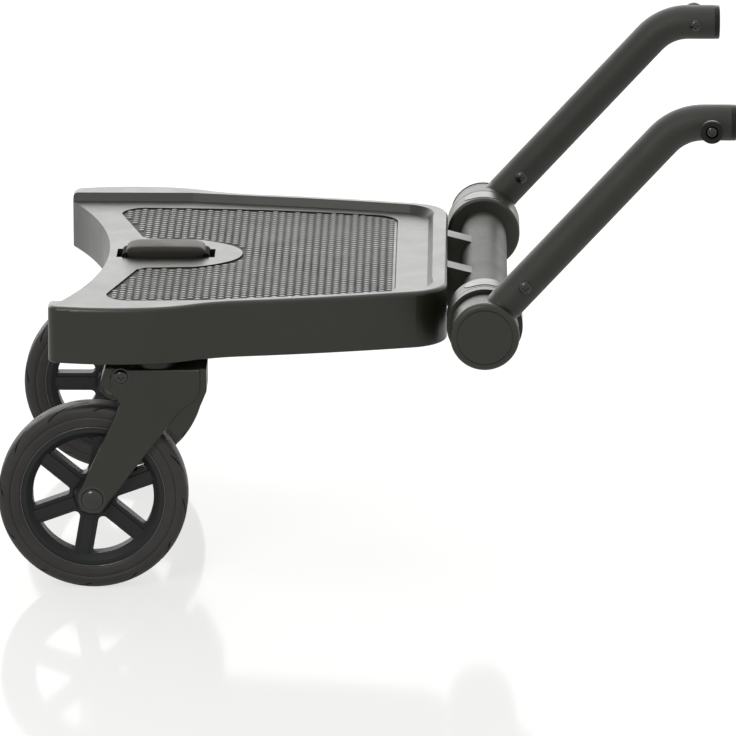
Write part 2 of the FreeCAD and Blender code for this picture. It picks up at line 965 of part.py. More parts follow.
def well_corners():
    """Side view of the finger well under the grip."""
    top = s.grip_length / 2 + s.moving_gap
    bottom = top - s.well_slope
    floor = tray_floor - s.grip_sink - s.moving_gap
    return [
        (handle_x - top, tray_floor),
        (handle_x - bottom, floor),
        (handle_x + bottom, floor),
        (handle_x + top, tray_floor),
        (handle_x + top, deck_top + s.overrun),
        (handle_x - top, deck_top + s.overrun),
    ]


def make_deck_shell():
    """Top side of the deck: rim, tray, mat recess, strap slots and finger well."""
    body = new_body("deck_shell")
    plan = sketch_on(body, "XY_Plane", "plan", deck_bottom)
    draw_loop(plan, deck_corners())
    pad(body, plan, s.deck_height)
    round_edges(body, level_at(deck_top), s.deck_top_edge)
    round_edges(body, level_at(deck_bottom), s.deck_bottom_edge)
    tray_mouth = sketch_on(body, "XY_Plane", "tray_mouth", deck_top)
    draw_loop(tray_mouth, tray_corners(ZERO))
    tray_base = sketch_on(body, "XY_Plane", "tray_base", tray_floor)
    draw_loop(tray_base, tray_corners(s.tray_slope))
    hollow_out(body, tray_mouth, tray_base)
    mat = sketch_on(body, "XY_Plane", "mat", tray_floor)
    draw_loop(mat, mat_corners())
    pocket(body, mat, s.mat_recess)
    slots = sketch_on(body, "XY_Plane", "slots", tray_floor)
    for sign in (-1, 1):
        centre = handle_x + s.slot_spacing / 2 * sign
        draw_loop(slots, block(centre, ZERO, s.slot_length, s.slot_width))
    pocket(body, slots, s.deck_height)
    well = sketch_on(body, "XZ_Plane", "well")
    draw_loop(well, well_corners())
    pocket(body, well, s.grip_width + s.well_margin * 2, symmetric=True)
    return body


def make_deck_room():
    """Space under the deck's plate, inside its wall."""
    plan = doc.addObject("Sketcher::SketchObject", "deck_outline")
    draw_loop(plan, deck_corners())
    face = doc.addObject("Part::Face", "deck_face")
    face.Sources = [plan]
    inset = doc.addObject("Part::Offset2D", "deck_inset")
    inset.Source = face
    bind(inset, "Value", -s.deck_wall)
    room = doc.addObject("Part::Extrusion", "deck_room")
    room.Base = inset
    room.DirMode = "Custom"
    room.Dir = Vector(0, 0, 1)
    room.Solid = True
    bind(room, "LengthFwd", ceiling - deck_bottom + s.overrun)
    return place(room, z=deck_bottom - s.overrun)


def make_deck_bosses():
    """Caster bosses and the wall under the finger well, as one solid."""
    bosses = []
    for side, sign in SIDES:
        boss = cylinder(f"{side}_caster_boss", s.caster_boss_radius, s.deck_height)
        bosses.append(place(boss, kingpin_x, caster_y * sign, deck_bottom - s.overrun))
    length = s.grip_length - s.well_slope * 2 + s.well_wall * 2
    width = s.grip_width + s.well_margin * 2 + s.well_wall * 2
    floor = tray_floor - s.grip_sink - s.moving_gap - s.well_wall
    well_wall = box("well_underside", length, width, ceiling - floor + s.overrun)
    bosses.append(place(well_wall, handle_x - length / 2, -width / 2, floor))
    return fuse("deck_bosses", bosses)


def make_deck_ribs(room, bosses):
    """Grid of ribs under the deck's plate, from wall to wall."""
    foot = deck_bottom + s.rib_short
    height = ceiling - foot + s.overrun
    bars = []
    for number in range(RIBS_LONG_COUNT):
        bar = box(f"rib_across_{number}", s.rib_thickness, s.deck_width, height)
        x = s.deck_front - s.rib_first_long - s.rib_pitch_long * number - s.rib_thickness / 2
        bars.append(place(bar, x, -s.deck_width / 2, foot))
    for side, sign in SIDES:
        for number in range(RIBS_CROSS_COUNT):
            bar = box(f"{side}_rib_along_{number}", s.deck_length, s.rib_thickness, height)
            y = (s.rib_first_cross + s.rib_pitch_cross * number) * sign - s.rib_thickness / 2
            bars.append(place(bar, deck_rear, y, foot))
    inside = common("ribs_inside", fuse("rib_grid", bars), room)
    return keep(cut("deck_ribs", inside, bosses), "deck_ribs")


def make_deck():
    """The deck, hollow below and drilled for the stem sockets and screws, with its ribs."""
    room = make_deck_room()
    bosses = make_deck_bosses()
    make_deck_ribs(room, bosses)
    drills = [cut("deck_hollow", room, bosses)]
    for side, sign in SIDES:
        bore_height = s.socket_length + s.kingpin_head_height + s.moving_gap * 2 + s.overrun
        bore = cylinder(f"{side}_socket_bore", s.socket_radius, bore_height)
        drills.append(place(bore, kingpin_x, caster_y * sign, deck_bottom - s.overrun))
    for name, y, z in bracket_screw_places():
        hole = cylinder(f"{name}_wall_hole", s.bracket_screw_radius, s.deck_wall + s.overrun * 2)
        drills.append(place(hole, s.deck_front - s.deck_wall - s.overrun, y, z, towards(1, 0, 0)))
    deck = cut("deck_board", make_deck_shell(), fuse("deck_drills", drills))
    return keep(deck, "deck_board")


def make_mat():
    """Grip mat that lies in its recess."""
    plan = doc.addObject("Sketcher::SketchObject", "mat_outline")
    draw_loop(plan, mat_corners())
    face = doc.addObject("Part::Face", "mat_face")
    face.Sources = [plan]
    inset = doc.addObject("Part::Offset2D", "mat_inset")
    inset.Source = face
    bind(inset, "Value", -s.mat_gap)
    mat = doc.addObject("Part::Extrusion", "grip_mat")
    mat.Base = inset
    mat.DirMode = "Custom"
    mat.Dir = Vector(0, 0, 1)
    mat.Solid = True
    bind(mat, "LengthFwd", s.mat_thickness)
    place(mat, z=tray_floor - s.mat_recess)
    return keep(mat, "grip_mat")


# Lift handle
def make_lift_grip():
    """Soft bar on the lift strap: what its rounded side view, section and plan share."""
    half = s.grip_length / 2
    body_half = half - s.grip_taper
    bottom = tray_floor - s.grip_sink
    end_low = tray_floor + s.moving_gap
    end_high = end_low + s.grip_end
    top = bottom + s.grip_height
    end_share = 1.541
    end_bend = s.grip_taper * end_share
    bar = new_body("grip_side")
    side_view = sketch_on(bar, "XZ_Plane", "outline")
    draw_loop(
        side_view,
        [
            (handle_x - half, end_low),
            (handle_x - body_half, bottom),
            (handle_x + body_half, bottom),
            (handle_x + half, end_low),
            (handle_x + half, end_high, left(end_bend)),
            (handle_x + body_half, top),
            (handle_x - body_half, top, left(end_bend)),
            (handle_x - half, end_high),
        ],
    )
    pad(bar, side_view, s.grip_width, symmetric=True)
    tube = new_body("grip_section")
    section = sketch_on(tube, "YZ_Plane", "outline", handle_x)
    draw_loop(section, rounded_block(ZERO, bottom + s.grip_height / 2, s.grip_width, s.grip_height, s.grip_edge))
    pad(tube, section, s.grip_length, symmetric=True)
    plate = new_body("grip_plan")
    plan = sketch_on(plate, "XY_Plane", "outline", bottom)
    draw_loop(plan, rounded_block(handle_x, ZERO, s.grip_length, s.grip_width, s.grip_corner))
    pad(plate, plan, s.grip_height)
    rounded = common("grip_rounded", common("grip_bar", bar, tube), plate)
    tunnel = box("strap_tunnel", s.grip_length + s.overrun * 2, s.strap_width, s.strap_thickness)
    place(tunnel, handle_x - half - s.overrun, -s.strap_width / 2, tray_floor + s.strap_rise)
    return keep(cut("lift_grip", rounded, tunnel), "lift_grip")


def make_lift_strap():
    """Webbing through the grip, down both slots to stop bars under the deck."""
    run_low = tray_floor + s.strap_rise
    run_high = run_low + s.strap_thickness
    leg = s.slot_spacing / 2 + s.strap_thickness / 2
    leg_inner = leg - s.strap_thickness
    bar_top = ceiling - s.moving_gap - s.lift_travel
    bar_low = bar_top - s.stop_bar_height
    body = new_body("webbing")
    side_view = sketch_on(body, "XZ_Plane", "side")
    draw_loop(
        side_view,
        [
            (handle_x - leg, bar_low),
            (handle_x - leg_inner, bar_low),
            (handle_x - leg_inner, run_low),
            (handle_x + leg_inner, run_low),
            (handle_x + leg_inner, bar_low),
            (handle_x + leg, bar_low),
            (handle_x + leg, run_high),
            (handle_x - leg, run_high),
        ],
    )
    pad(body, side_view, s.strap_width, symmetric=True)
    pieces = [body]
    for end, sign in (("rear", -1), ("front", 1)):
        bar = box(f"{end}_stop_bar", s.stop_bar_length, s.stop_bar_width, s.stop_bar_height)
        x = handle_x + s.slot_spacing / 2 * sign - s.stop_bar_length / 2
        pieces.append(place(bar, x, -s.stop_bar_width / 2, bar_low))
    return keep(fuse("lift_strap", pieces), "lift_strap")


# Cross tube and brackets
def bracket_screw_places():
    """Name and place of every bracket screw on the deck's front wall."""
    places = []
    for side, sign in SIDES:
        for number in range(2):
            y = s.bracket_spread / 2 * sign
            z = deck_bottom + s.bracket_screw_low + s.bracket_screw_pitch * number
            places.append((f"{side}_bracket_screw_{number}", y, z))
    return places


def make_cross_tube():
    """Tube across the board's front, pushed into both collars."""
    half = collar_inner + s.cross_tube_insert
    bore = s.cross_tube_radius - s.cross_tube_wall
    tube = turned(
        "cross_tube",
        [(bore, -half), (s.cross_tube_radius, -half), (s.cross_tube_radius, half), (bore, half)],
    )
    place(tube, hinge_x, ZERO, hinge_z, towards(0, 1, 0))
    return keep(tube, "cross_tube")


def make_bracket(side, sign):
    """Lug between the deck's front wall and the cross tube, hollowed to seat the tube."""
    top = deck_bottom + s.bracket_top
    low = top - s.bracket_height
    body = new_body(f"{side}_bracket_blank")
    view = sketch_on(body, "XZ_Plane", "side")
    draw_loop(
        view,
        [
            (s.deck_front, low),
            (hinge_x - s.cross_tube_radius / 2, low),
            (hinge_x, hinge_z),
            (hinge_x - s.cross_tube_radius / 3, top - s.bracket_drop),
            (s.deck_front, top),
        ],
    )
    pad(body, view, s.bracket_width, symmetric=True)
    seat = place(
        cylinder(f"{side}_tube_seat", s.cross_tube_radius, s.bracket_width + s.overrun * 2),
        hinge_x, -s.bracket_width / 2 - s.overrun, hinge_z, towards(0, 1, 0),
    )
    tools = [seat]
    for name, y, z in bracket_screw_places():
        if name.startswith(side):
            hole = cylinder(f"{name}_hole", s.bracket_screw_radius, s.bracket_screw_length)
            tools.append(place(hole, s.deck_front - s.deck_wall, ZERO, z, towards(1, 0, 0)))
    bracket = cut(f"{side}_tube_bracket", body, fuse(f"{side}_bracket_tools", tools))
    place(bracket, y=s.bracket_spread / 2 * sign)
    return keep(bracket, f"{side}_tube_bracket")


def make_bracket_screws():
    """Four pan-head screws, driven from inside the deck's front wall."""
    screws = []
    for name, y, z in bracket_screw_places():
        screw = turned(
            name,
            [
                (ZERO, -s.bracket_screw_head_height),
                (s.bracket_screw_head, -s.bracket_screw_head_height),
                (s.bracket_screw_head, ZERO),
                (s.bracket_screw_radius, ZERO),
                (s.bracket_screw_radius, s.bracket_screw_length),
                (ZERO, s.bracket_screw_length),
            ],
        )
        screws.append(place(screw, s.deck_front - s.deck_wall, y, z, towards(1, 0, 0)))
    group = doc.addObject("Part::Compound", "bracket_screws")
    group.Links = screws
    return keep(group, "bracket_screws")


# Angle joints
def button_outline(sketch, grow):
    """Plan of a button with round ends, grown by a clearance."""
    half = s.button_length / 2 + grow
    end = s.button_width / 2 + grow
    flat = half - end
    draw_loop(
        sketch,
        [
            (-flat, -end),
            (flat, -end, left(end)),
            (half, ZERO, left(end)),
            (flat, end),
            (-flat, end, left(end)),
            (-half, ZERO, left(end)),
        ],
    )


def make_collar(side, sign):
    """Fixed half of an angle joint: socket for the cross tube, pin hole and button well."""
    line_start = s.collar_line_setback - s.collar_line_width / 2
    line_end = s.collar_line_setback + s.collar_line_width / 2
    groove = s.collar_radius - s.collar_line_depth
    pin_start = s.collar_length - s.hinge_pin_insert
    blank = turned(
        f"{side}_collar_blank",
        [
            (s.cross_tube_radius, ZERO),
            (s.collar_radius - s.collar_edge, ZERO, left(s.collar_edge)),
            (s.collar_radius, s.collar_edge),
            (s.collar_radius, line_start),
            (groove, line_start),
            (groove, line_end),
            (s.collar_radius, line_end),
            (s.collar_radius, s.collar_length),
            (s.hinge_pin_radius, s.collar_length),
            (s.hinge_pin_radius, pin_start),
            (s.cross_tube_radius, pin_start),
        ],
    )
    place(blank, hinge_x, collar_inner * sign, hinge_z, towards(0, sign, 0))
    well = new_body(f"{side}_button_well")
    plan = sketch_on(well, "XY_Plane", "plan")
    button_outline(plan, s.moving_gap)
    pad(well, plan, s.collar_radius)
    centre = (collar_inner + s.button_centre) * sign
    place(well, hinge_x, centre, hinge_z + s.cross_tube_radius + s.well_floor)
    return keep(cut(f"{side}_collar", blank, well), f"{side}_collar")


def make_button(side, sign):
    """Push button whose top follows the collar's curve."""
    stem = new_body(f"{side}_button_stem")
    plan = sketch_on(stem, "XY_Plane", "plan")
    button_outline(plan, ZERO)
    pad(stem, plan, s.collar_radius)
    centre = (collar_inner + s.button_centre) * sign
    low = hinge_z + s.cross_tube_radius + s.well_floor + s.button_travel + s.moving_gap
    place(stem, hinge_x, centre, low)
    crown = cylinder(f"{side}_button_crown", s.collar_radius + s.button_proud, s.button_width * 2)
    place(crown, hinge_x, centre - s.button_width, hinge_z, towards(0, 1, 0))
    return keep(common(f"{side}_button", stem, crown), f"{side}_button")


def make_hinge_pin(side, sign):
    """Pin that is fixed in the collar and carries the arm's knuckle."""
    head_start = s.knuckle_length + s.moving_gap * 2 - s.knuckle_recess
    head_end = head_start + s.hinge_pin_head
    pin = turned(
        f"{side}_hinge_pin",
        [
            (ZERO, -s.hinge_pin_insert),
            (s.hinge_pin_radius, -s.hinge_pin_insert),
            (s.hinge_pin_radius, head_start),
            (s.hinge_pin_head_radius, head_start),
            (s.hinge_pin_head_radius, head_end),
            (ZERO, head_end),
        ],
    )
    place(pin, hinge_x, collar_outer * sign, hinge_z, towards(0, sign, 0))
    return keep(pin, f"{side}_hinge_pin")


# Arms
def arm_direction():
    """Unit vector of an arm's straight run, as shares of its length."""
    angle = math.radians(ARM_ANGLE)
    return math.cos(angle), math.sin(angle)


def along_arm(distance):
    """Place on an arm's centre line, measured from the hinge axis."""
    forward_share, up_share = arm_direction()
    x = hinge_x + distance * forward_share - s.arm_offset * up_share
    z = hinge_z + distance * up_share + s.arm_offset * forward_share
    return x, z


def arm_corner():
    """Place where the two straight runs of an arm would meet."""
    return along_arm(s.arm_root + s.arm_straight)


def make_arm_tube(side, sign):
    """Tube that rises from the knuckle and bends level towards the pushchair."""
    corner_x, corner_z = arm_corner()
    root_x, root_z = along_arm(s.arm_root)
    tangent = s.arm_bend_radius * math.tan(math.radians(ARM_ANGLE) / 2)
    bend_x, bend_z = along_arm(s.arm_root + s.arm_straight - tangent)
    tip_x = corner_x + s.arm_tip
    body = new_body(f"{side}_arm_bend")
    path = sketch_on(body, "XZ_Plane", "path")
    draw_loop(
        path,
        [
            (tip_x, corner_z),
            (corner_x + tangent, corner_z, left(s.arm_bend_radius)),
            (bend_x, bend_z),
            (root_x, root_z),
        ],
        closed=False,
    )
    section = sketch_on(body, "YZ_Plane", "section", tip_x)
    draw_circle(section, ZERO, corner_z, s.arm_tube_radius)
    draw_circle(section, ZERO, corner_z, s.arm_tube_radius - s.arm_tube_wall)
    pipe = body.newObject("PartDesign::AdditivePipe", f"{side}_arm_pipe")
    pipe.Profile = section
    pipe.Spine = path
    holes = fuse(
        f"{side}_arm_holes",
        [
            bolt_hole(f"{side}_arm_bolt_hole", s.arm_bolt_radius, *arm_bolt_place()),
            bolt_hole(f"{side}_peg_bolt_hole", s.peg_bolt_radius, *peg_place()),
        ],
    )
    tube = cut(f"{side}_arm_tube", body, holes)
    place(tube, y=arm_y * sign)
    return keep(tube, f"{side}_arm_tube")


def arm_bolt_place():
    """Where the bolt crosses an arm's lower end."""
    return along_arm(s.arm_root + s.arm_bolt_setback)


def peg_place():
    """Where the peg stands on an arm's level end."""
    corner_x, corner_z = arm_corner()
    return corner_x + s.arm_tip - s.peg_setback, corner_z


def bolt_hole(name, radius, x, z):
    """Cross hole through an arm's tube, about the arm's own middle plane."""
    length = (s.arm_tube_radius + s.overrun) * 2
    return place(cylinder(name, radius, length), x, length / -2, z, towards(0, 1, 0))


def make_knuckle(side, sign):
    """Moving half of an angle joint: a ring on the pin, a neck and a tang inside the arm's tube."""
    ring = turned(
        f"{side}_knuckle_ring",
        [
            (ZERO, ZERO),
            (s.knuckle_step_radius, ZERO),
            (s.knuckle_step_radius, s.knuckle_step),
            (s.knuckle_radius - s.knuckle_edge, s.knuckle_step),
            (s.knuckle_radius, s.knuckle_step + s.knuckle_edge),
            (s.knuckle_radius, s.knuckle_length),
            (ZERO, s.knuckle_length),
        ],
    )
    place(ring, hinge_x, knuckle_inner * sign, hinge_z, towards(0, sign, 0))
    forward_share, up_share = arm_direction()
    tang_start = s.knuckle_radius / 2
    tang = cylinder(
        f"{side}_tang",
        s.arm_tube_radius - s.arm_tube_wall - s.running_gap,
        s.arm_root + s.tang_insert - tang_start,
    )
    neck = cylinder(f"{side}_neck", s.arm_tube_radius, s.arm_root - tang_start)
    tang_x, tang_z = along_arm(tang_start)
    for rod in (tang, neck):
        place(rod, tang_x, arm_y * sign, tang_z, towards(forward_share, 0, up_share))
    solid = fuse(f"{side}_knuckle_solid", [ring, tang, neck])
    bore = cylinder(
        f"{side}_pin_bore", s.hinge_pin_radius + s.running_gap, s.knuckle_length + s.overrun * 2
    )
    place(bore, hinge_x, (knuckle_inner - s.overrun) * sign, hinge_z, towards(0, sign, 0))
    recess = cylinder(
        f"{side}_pin_recess", s.hinge_pin_head_radius + s.moving_gap, s.knuckle_recess + s.overrun
    )
    place(recess, hinge_x, (knuckle_outer - s.knuckle_recess) * sign, hinge_z, towards(0, sign, 0))
    bolt_x, bolt_z = arm_bolt_place()
    length = (s.arm_tube_radius + s.overrun) * 2
    hole = cylinder(f"{side}_tang_hole", s.arm_bolt_radius, length)
    place(hole, bolt_x, arm_y * sign - length / 2, bolt_z, towards(0, 1, 0))
    knuckle = cut(f"{side}_knuckle", solid, fuse(f"{side}_knuckle_holes", [bore, recess, hole]))
    return keep(knuckle, f"{side}_knuckle")


def make_hinge_cap(side, sign):
    """Round cover on the knuckle, with a ring groove in its face."""
    groove_out = s.cap_groove_radius + s.cap_groove / 2
    groove_in = s.cap_groove_radius - s.cap_groove / 2
    groove_floor = s.cap_thickness - s.cap_groove
    cap = turned(
        f"{side}_hinge_cap",
        [
            (ZERO, ZERO),
            (s.cap_radius, ZERO),
            (s.cap_radius, s.cap_thickness - s.cap_edge, left(s.cap_edge)),
            (s.cap_radius - s.cap_edge, s.cap_thickness),
            (groove_out, s.cap_thickness),
            (groove_out, groove_floor),
            (groove_in, groove_floor),
            (groove_in, s.cap_thickness),
            (ZERO, s.cap_thickness),
        ],
    )
    place(cap, hinge_x, knuckle_outer * sign, hinge_z, towards(0, sign, 0))
    return keep(cap, f"{side}_hinge_cap")


def make_arm_bolt(side, sign):
    """Bolt across an arm's lower end, with a low round head on each side."""
    half = s.arm_tube_radius
    end = half + s.arm_bolt_head
    crown = s.arm_bolt_head_radius / 2
    upper = [
        (s.arm_bolt_radius, half),
        (s.arm_bolt_head_radius, half),
        (crown, end),
        (ZERO, end),
    ]
    lower = [(radius, -height) for radius, height in upper]
    bolt = turned(f"{side}_arm_bolt", [*reversed(lower), *upper])
    x, z = arm_bolt_place()
    place(bolt, x, arm_y * sign, z, towards(0, sign, 0))
    return keep(bolt, f"{side}_arm_bolt")


def make_peg(side, sign):
    """Mushroom peg that hooks into the pushchair, saddled on the arm's tube."""
    start = s.arm_tube_radius - s.peg_saddle
    end = s.arm_tube_radius + s.peg_length
    disc = end - s.peg_disc
    blank = turned(
        f"{side}_peg_blank",
        [
            (s.peg_bolt_radius, start),
            (s.peg_radius, start),
            (s.peg_radius, disc),
            (s.peg_disc_radius - s.peg_disc_edge, disc),
            (s.peg_disc_radius, disc + s.peg_disc_edge),
            (s.peg_disc_radius, end - s.peg_disc_edge),
            (s.peg_disc_radius - s.peg_disc_edge, end),
            (s.peg_recess_radius, end),
            (s.peg_recess_radius, end - s.peg_recess),
            (s.peg_bolt_radius, end - s.peg_recess),
        ],
    )
    x, z = peg_place()
    place(blank, x, arm_y * sign, z, towards(0, sign, 0))
    saddle = cylinder(f"{side}_peg_saddle", s.arm_tube_radius, s.peg_disc_radius * 2)
    place(saddle, x - s.peg_disc_radius, arm_y * sign, z, towards(1, 0, 0))
    return keep(cut(f"{side}_peg", blank, saddle), f"{side}_peg")


def make_peg_bolt(side, sign):
    """Bolt that holds a peg, sunk in its face, with a round nut inside the arm."""
    half = s.arm_tube_radius
    outer = half + s.peg_length
    seat = outer - s.peg_recess
    nut_end = half + s.peg_bolt_head
    bolt = turned(
        f"{side}_peg_bolt",
        [
            (ZERO, -nut_end),
            (s.peg_bolt_head_radius / 2, -nut_end),
            (s.peg_bolt_head_radius, -half),
            (s.peg_bolt_radius, -half),
            (s.peg_bolt_radius, seat),
            (s.peg_bolt_head_radius, seat),
            (s.peg_bolt_head_radius / 2, seat + s.peg_bolt_head),
            (ZERO, seat + s.peg_bolt_head),
        ],
    )
    x, z = peg_place()
    place(bolt, x, arm_y * sign, z, towards(0, sign, 0))
    return keep(bolt, f"{side}_peg_bolt")


def make_tube_plug(side, sign):
    """Plastic plug in an arm's open end."""
    spigot = s.arm_tube_radius - s.arm_tube_wall - s.running_gap
    bolt_room = s.peg_setback - s.peg_bolt_radius - s.moving_gap
    depth = Length(f"min({s.plug_insert.text}; {bolt_room.text})", min(s.plug_insert.value, bolt_room.value))
    plug = turned(
        f"{side}_tube_plug",
        [
            (ZERO, -depth),
            (spigot, -depth),
            (spigot, ZERO),
            (s.arm_tube_radius, ZERO),
            (s.arm_tube_radius, s.plug_lip - s.plug_edge, left(s.plug_edge)),
            (s.arm_tube_radius - s.plug_edge, s.plug_lip),
            (ZERO, s.plug_lip),
        ],
    )
    corner_x, corner_z = arm_corner()
    place(plug, corner_x + s.arm_tip, arm_y * sign, corner_z, towards(1, 0, 0))
    return keep(plug, f"{side}_tube_plug")


def check_model():
    """Stop on any failed object or unsound sub-part."""
    for item in doc.Objects:
        if "Invalid" in item.State or "Error" in item.State:
            raise RuntimeError(f"{item.Name} failed: {item.State} {item.getStatusString()}")
    for label, item in nodes.items():
        if item.Shape.isNull() or not item.Shape.isValid():
            raise RuntimeError(f"{label} has no sound shape")


def write_parts():
    """Write one STEP file for each sub-part."""
    os.makedirs("parts", exist_ok=True)
    for label, item in nodes.items():
        item.Shape.exportStep(f"parts/{label}.step")


def main():
    """Build every sub-part, check it and write it."""
    fill_sheet()
    make_deck()
    make_mat()
    make_cross_tube()
    make_bracket_screws()
    make_lift_grip()
    make_lift_strap()
    sided = (
        make_bracket, make_collar, make_hinge_pin, make_stem_socket,
        make_fork, make_kingpin, make_fork_screw, make_axle, make_axle_nut,
        make_rim, make_tyre, make_wheel_bush,
        make_arm_tube, make_knuckle, make_hinge_cap, make_arm_bolt, make_peg, make_peg_bolt, make_tube_plug,
        make_button,
    )
    for side, sign in SIDES:
        for make in sided:
            make(side, sign)
    doc.recompute()
    check_model()
    write_parts()


main()
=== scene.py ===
"""Looks of a ride-on board that trails behind a pushchair.

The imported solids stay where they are. This file gives each solid its finish, makes the
studded mat, the soft grip and its webbing, the treaded tyres, the beads of the rims, the
neck bands of the arms and the heads of the screws, and sets up the studio. Lengths are in
metres, in the frame of the solids.
"""
import logging
import math
from dataclasses import dataclass
from enum import Enum
from typing import Callable, Iterable, Protocol

import bmesh
import bpy
from mathutils import Matrix, Vector


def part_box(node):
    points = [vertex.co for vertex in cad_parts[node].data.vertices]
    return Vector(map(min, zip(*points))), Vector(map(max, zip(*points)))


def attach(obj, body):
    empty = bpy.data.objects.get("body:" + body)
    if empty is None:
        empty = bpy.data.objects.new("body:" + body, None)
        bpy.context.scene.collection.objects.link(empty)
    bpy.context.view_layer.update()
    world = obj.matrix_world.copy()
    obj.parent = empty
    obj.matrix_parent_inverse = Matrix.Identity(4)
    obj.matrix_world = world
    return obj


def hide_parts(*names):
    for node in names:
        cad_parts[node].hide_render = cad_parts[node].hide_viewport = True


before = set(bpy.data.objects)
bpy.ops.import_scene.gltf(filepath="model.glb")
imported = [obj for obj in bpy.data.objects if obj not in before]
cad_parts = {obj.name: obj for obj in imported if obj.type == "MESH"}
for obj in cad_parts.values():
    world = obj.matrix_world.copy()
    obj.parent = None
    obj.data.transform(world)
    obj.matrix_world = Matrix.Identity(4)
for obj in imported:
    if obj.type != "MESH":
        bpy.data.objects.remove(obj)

LOG = logging.getLogger("ride_on_board")
MM = 0.001
SNAP = 0.002 * MM  # a cut takes in the corners that lie this close to it
FACING_UP = 0.9  # least Z of a top face's normal
BOARD_MIDDLE = (0.0, 0.0, 0.1339)  # what the camera and the lamps face
Colour = tuple[float, float, float]
Box = tuple[Vector, Vector]


class Side(Enum):
    """The two sides of the board."""

    RIGHT = "right"
    LEFT = "left"

    @property
    def sign(self) -> int:
        """Direction of this side along the Y axis."""
        return -1 if self is Side.RIGHT else 1

    def node(self, name: str) -> str:
        """Name of this side's own solid."""
        return f"{self.value}_{name}"


# Shader node groups


class Shelf(Enum):
    """Effects that several finishes share, each kept as one node group."""

    TONE = "uneven_tone"
    GRAIN = "fine_grain"
    GLOSS = "handled_gloss"
    WEAVE = "webbing_weave"


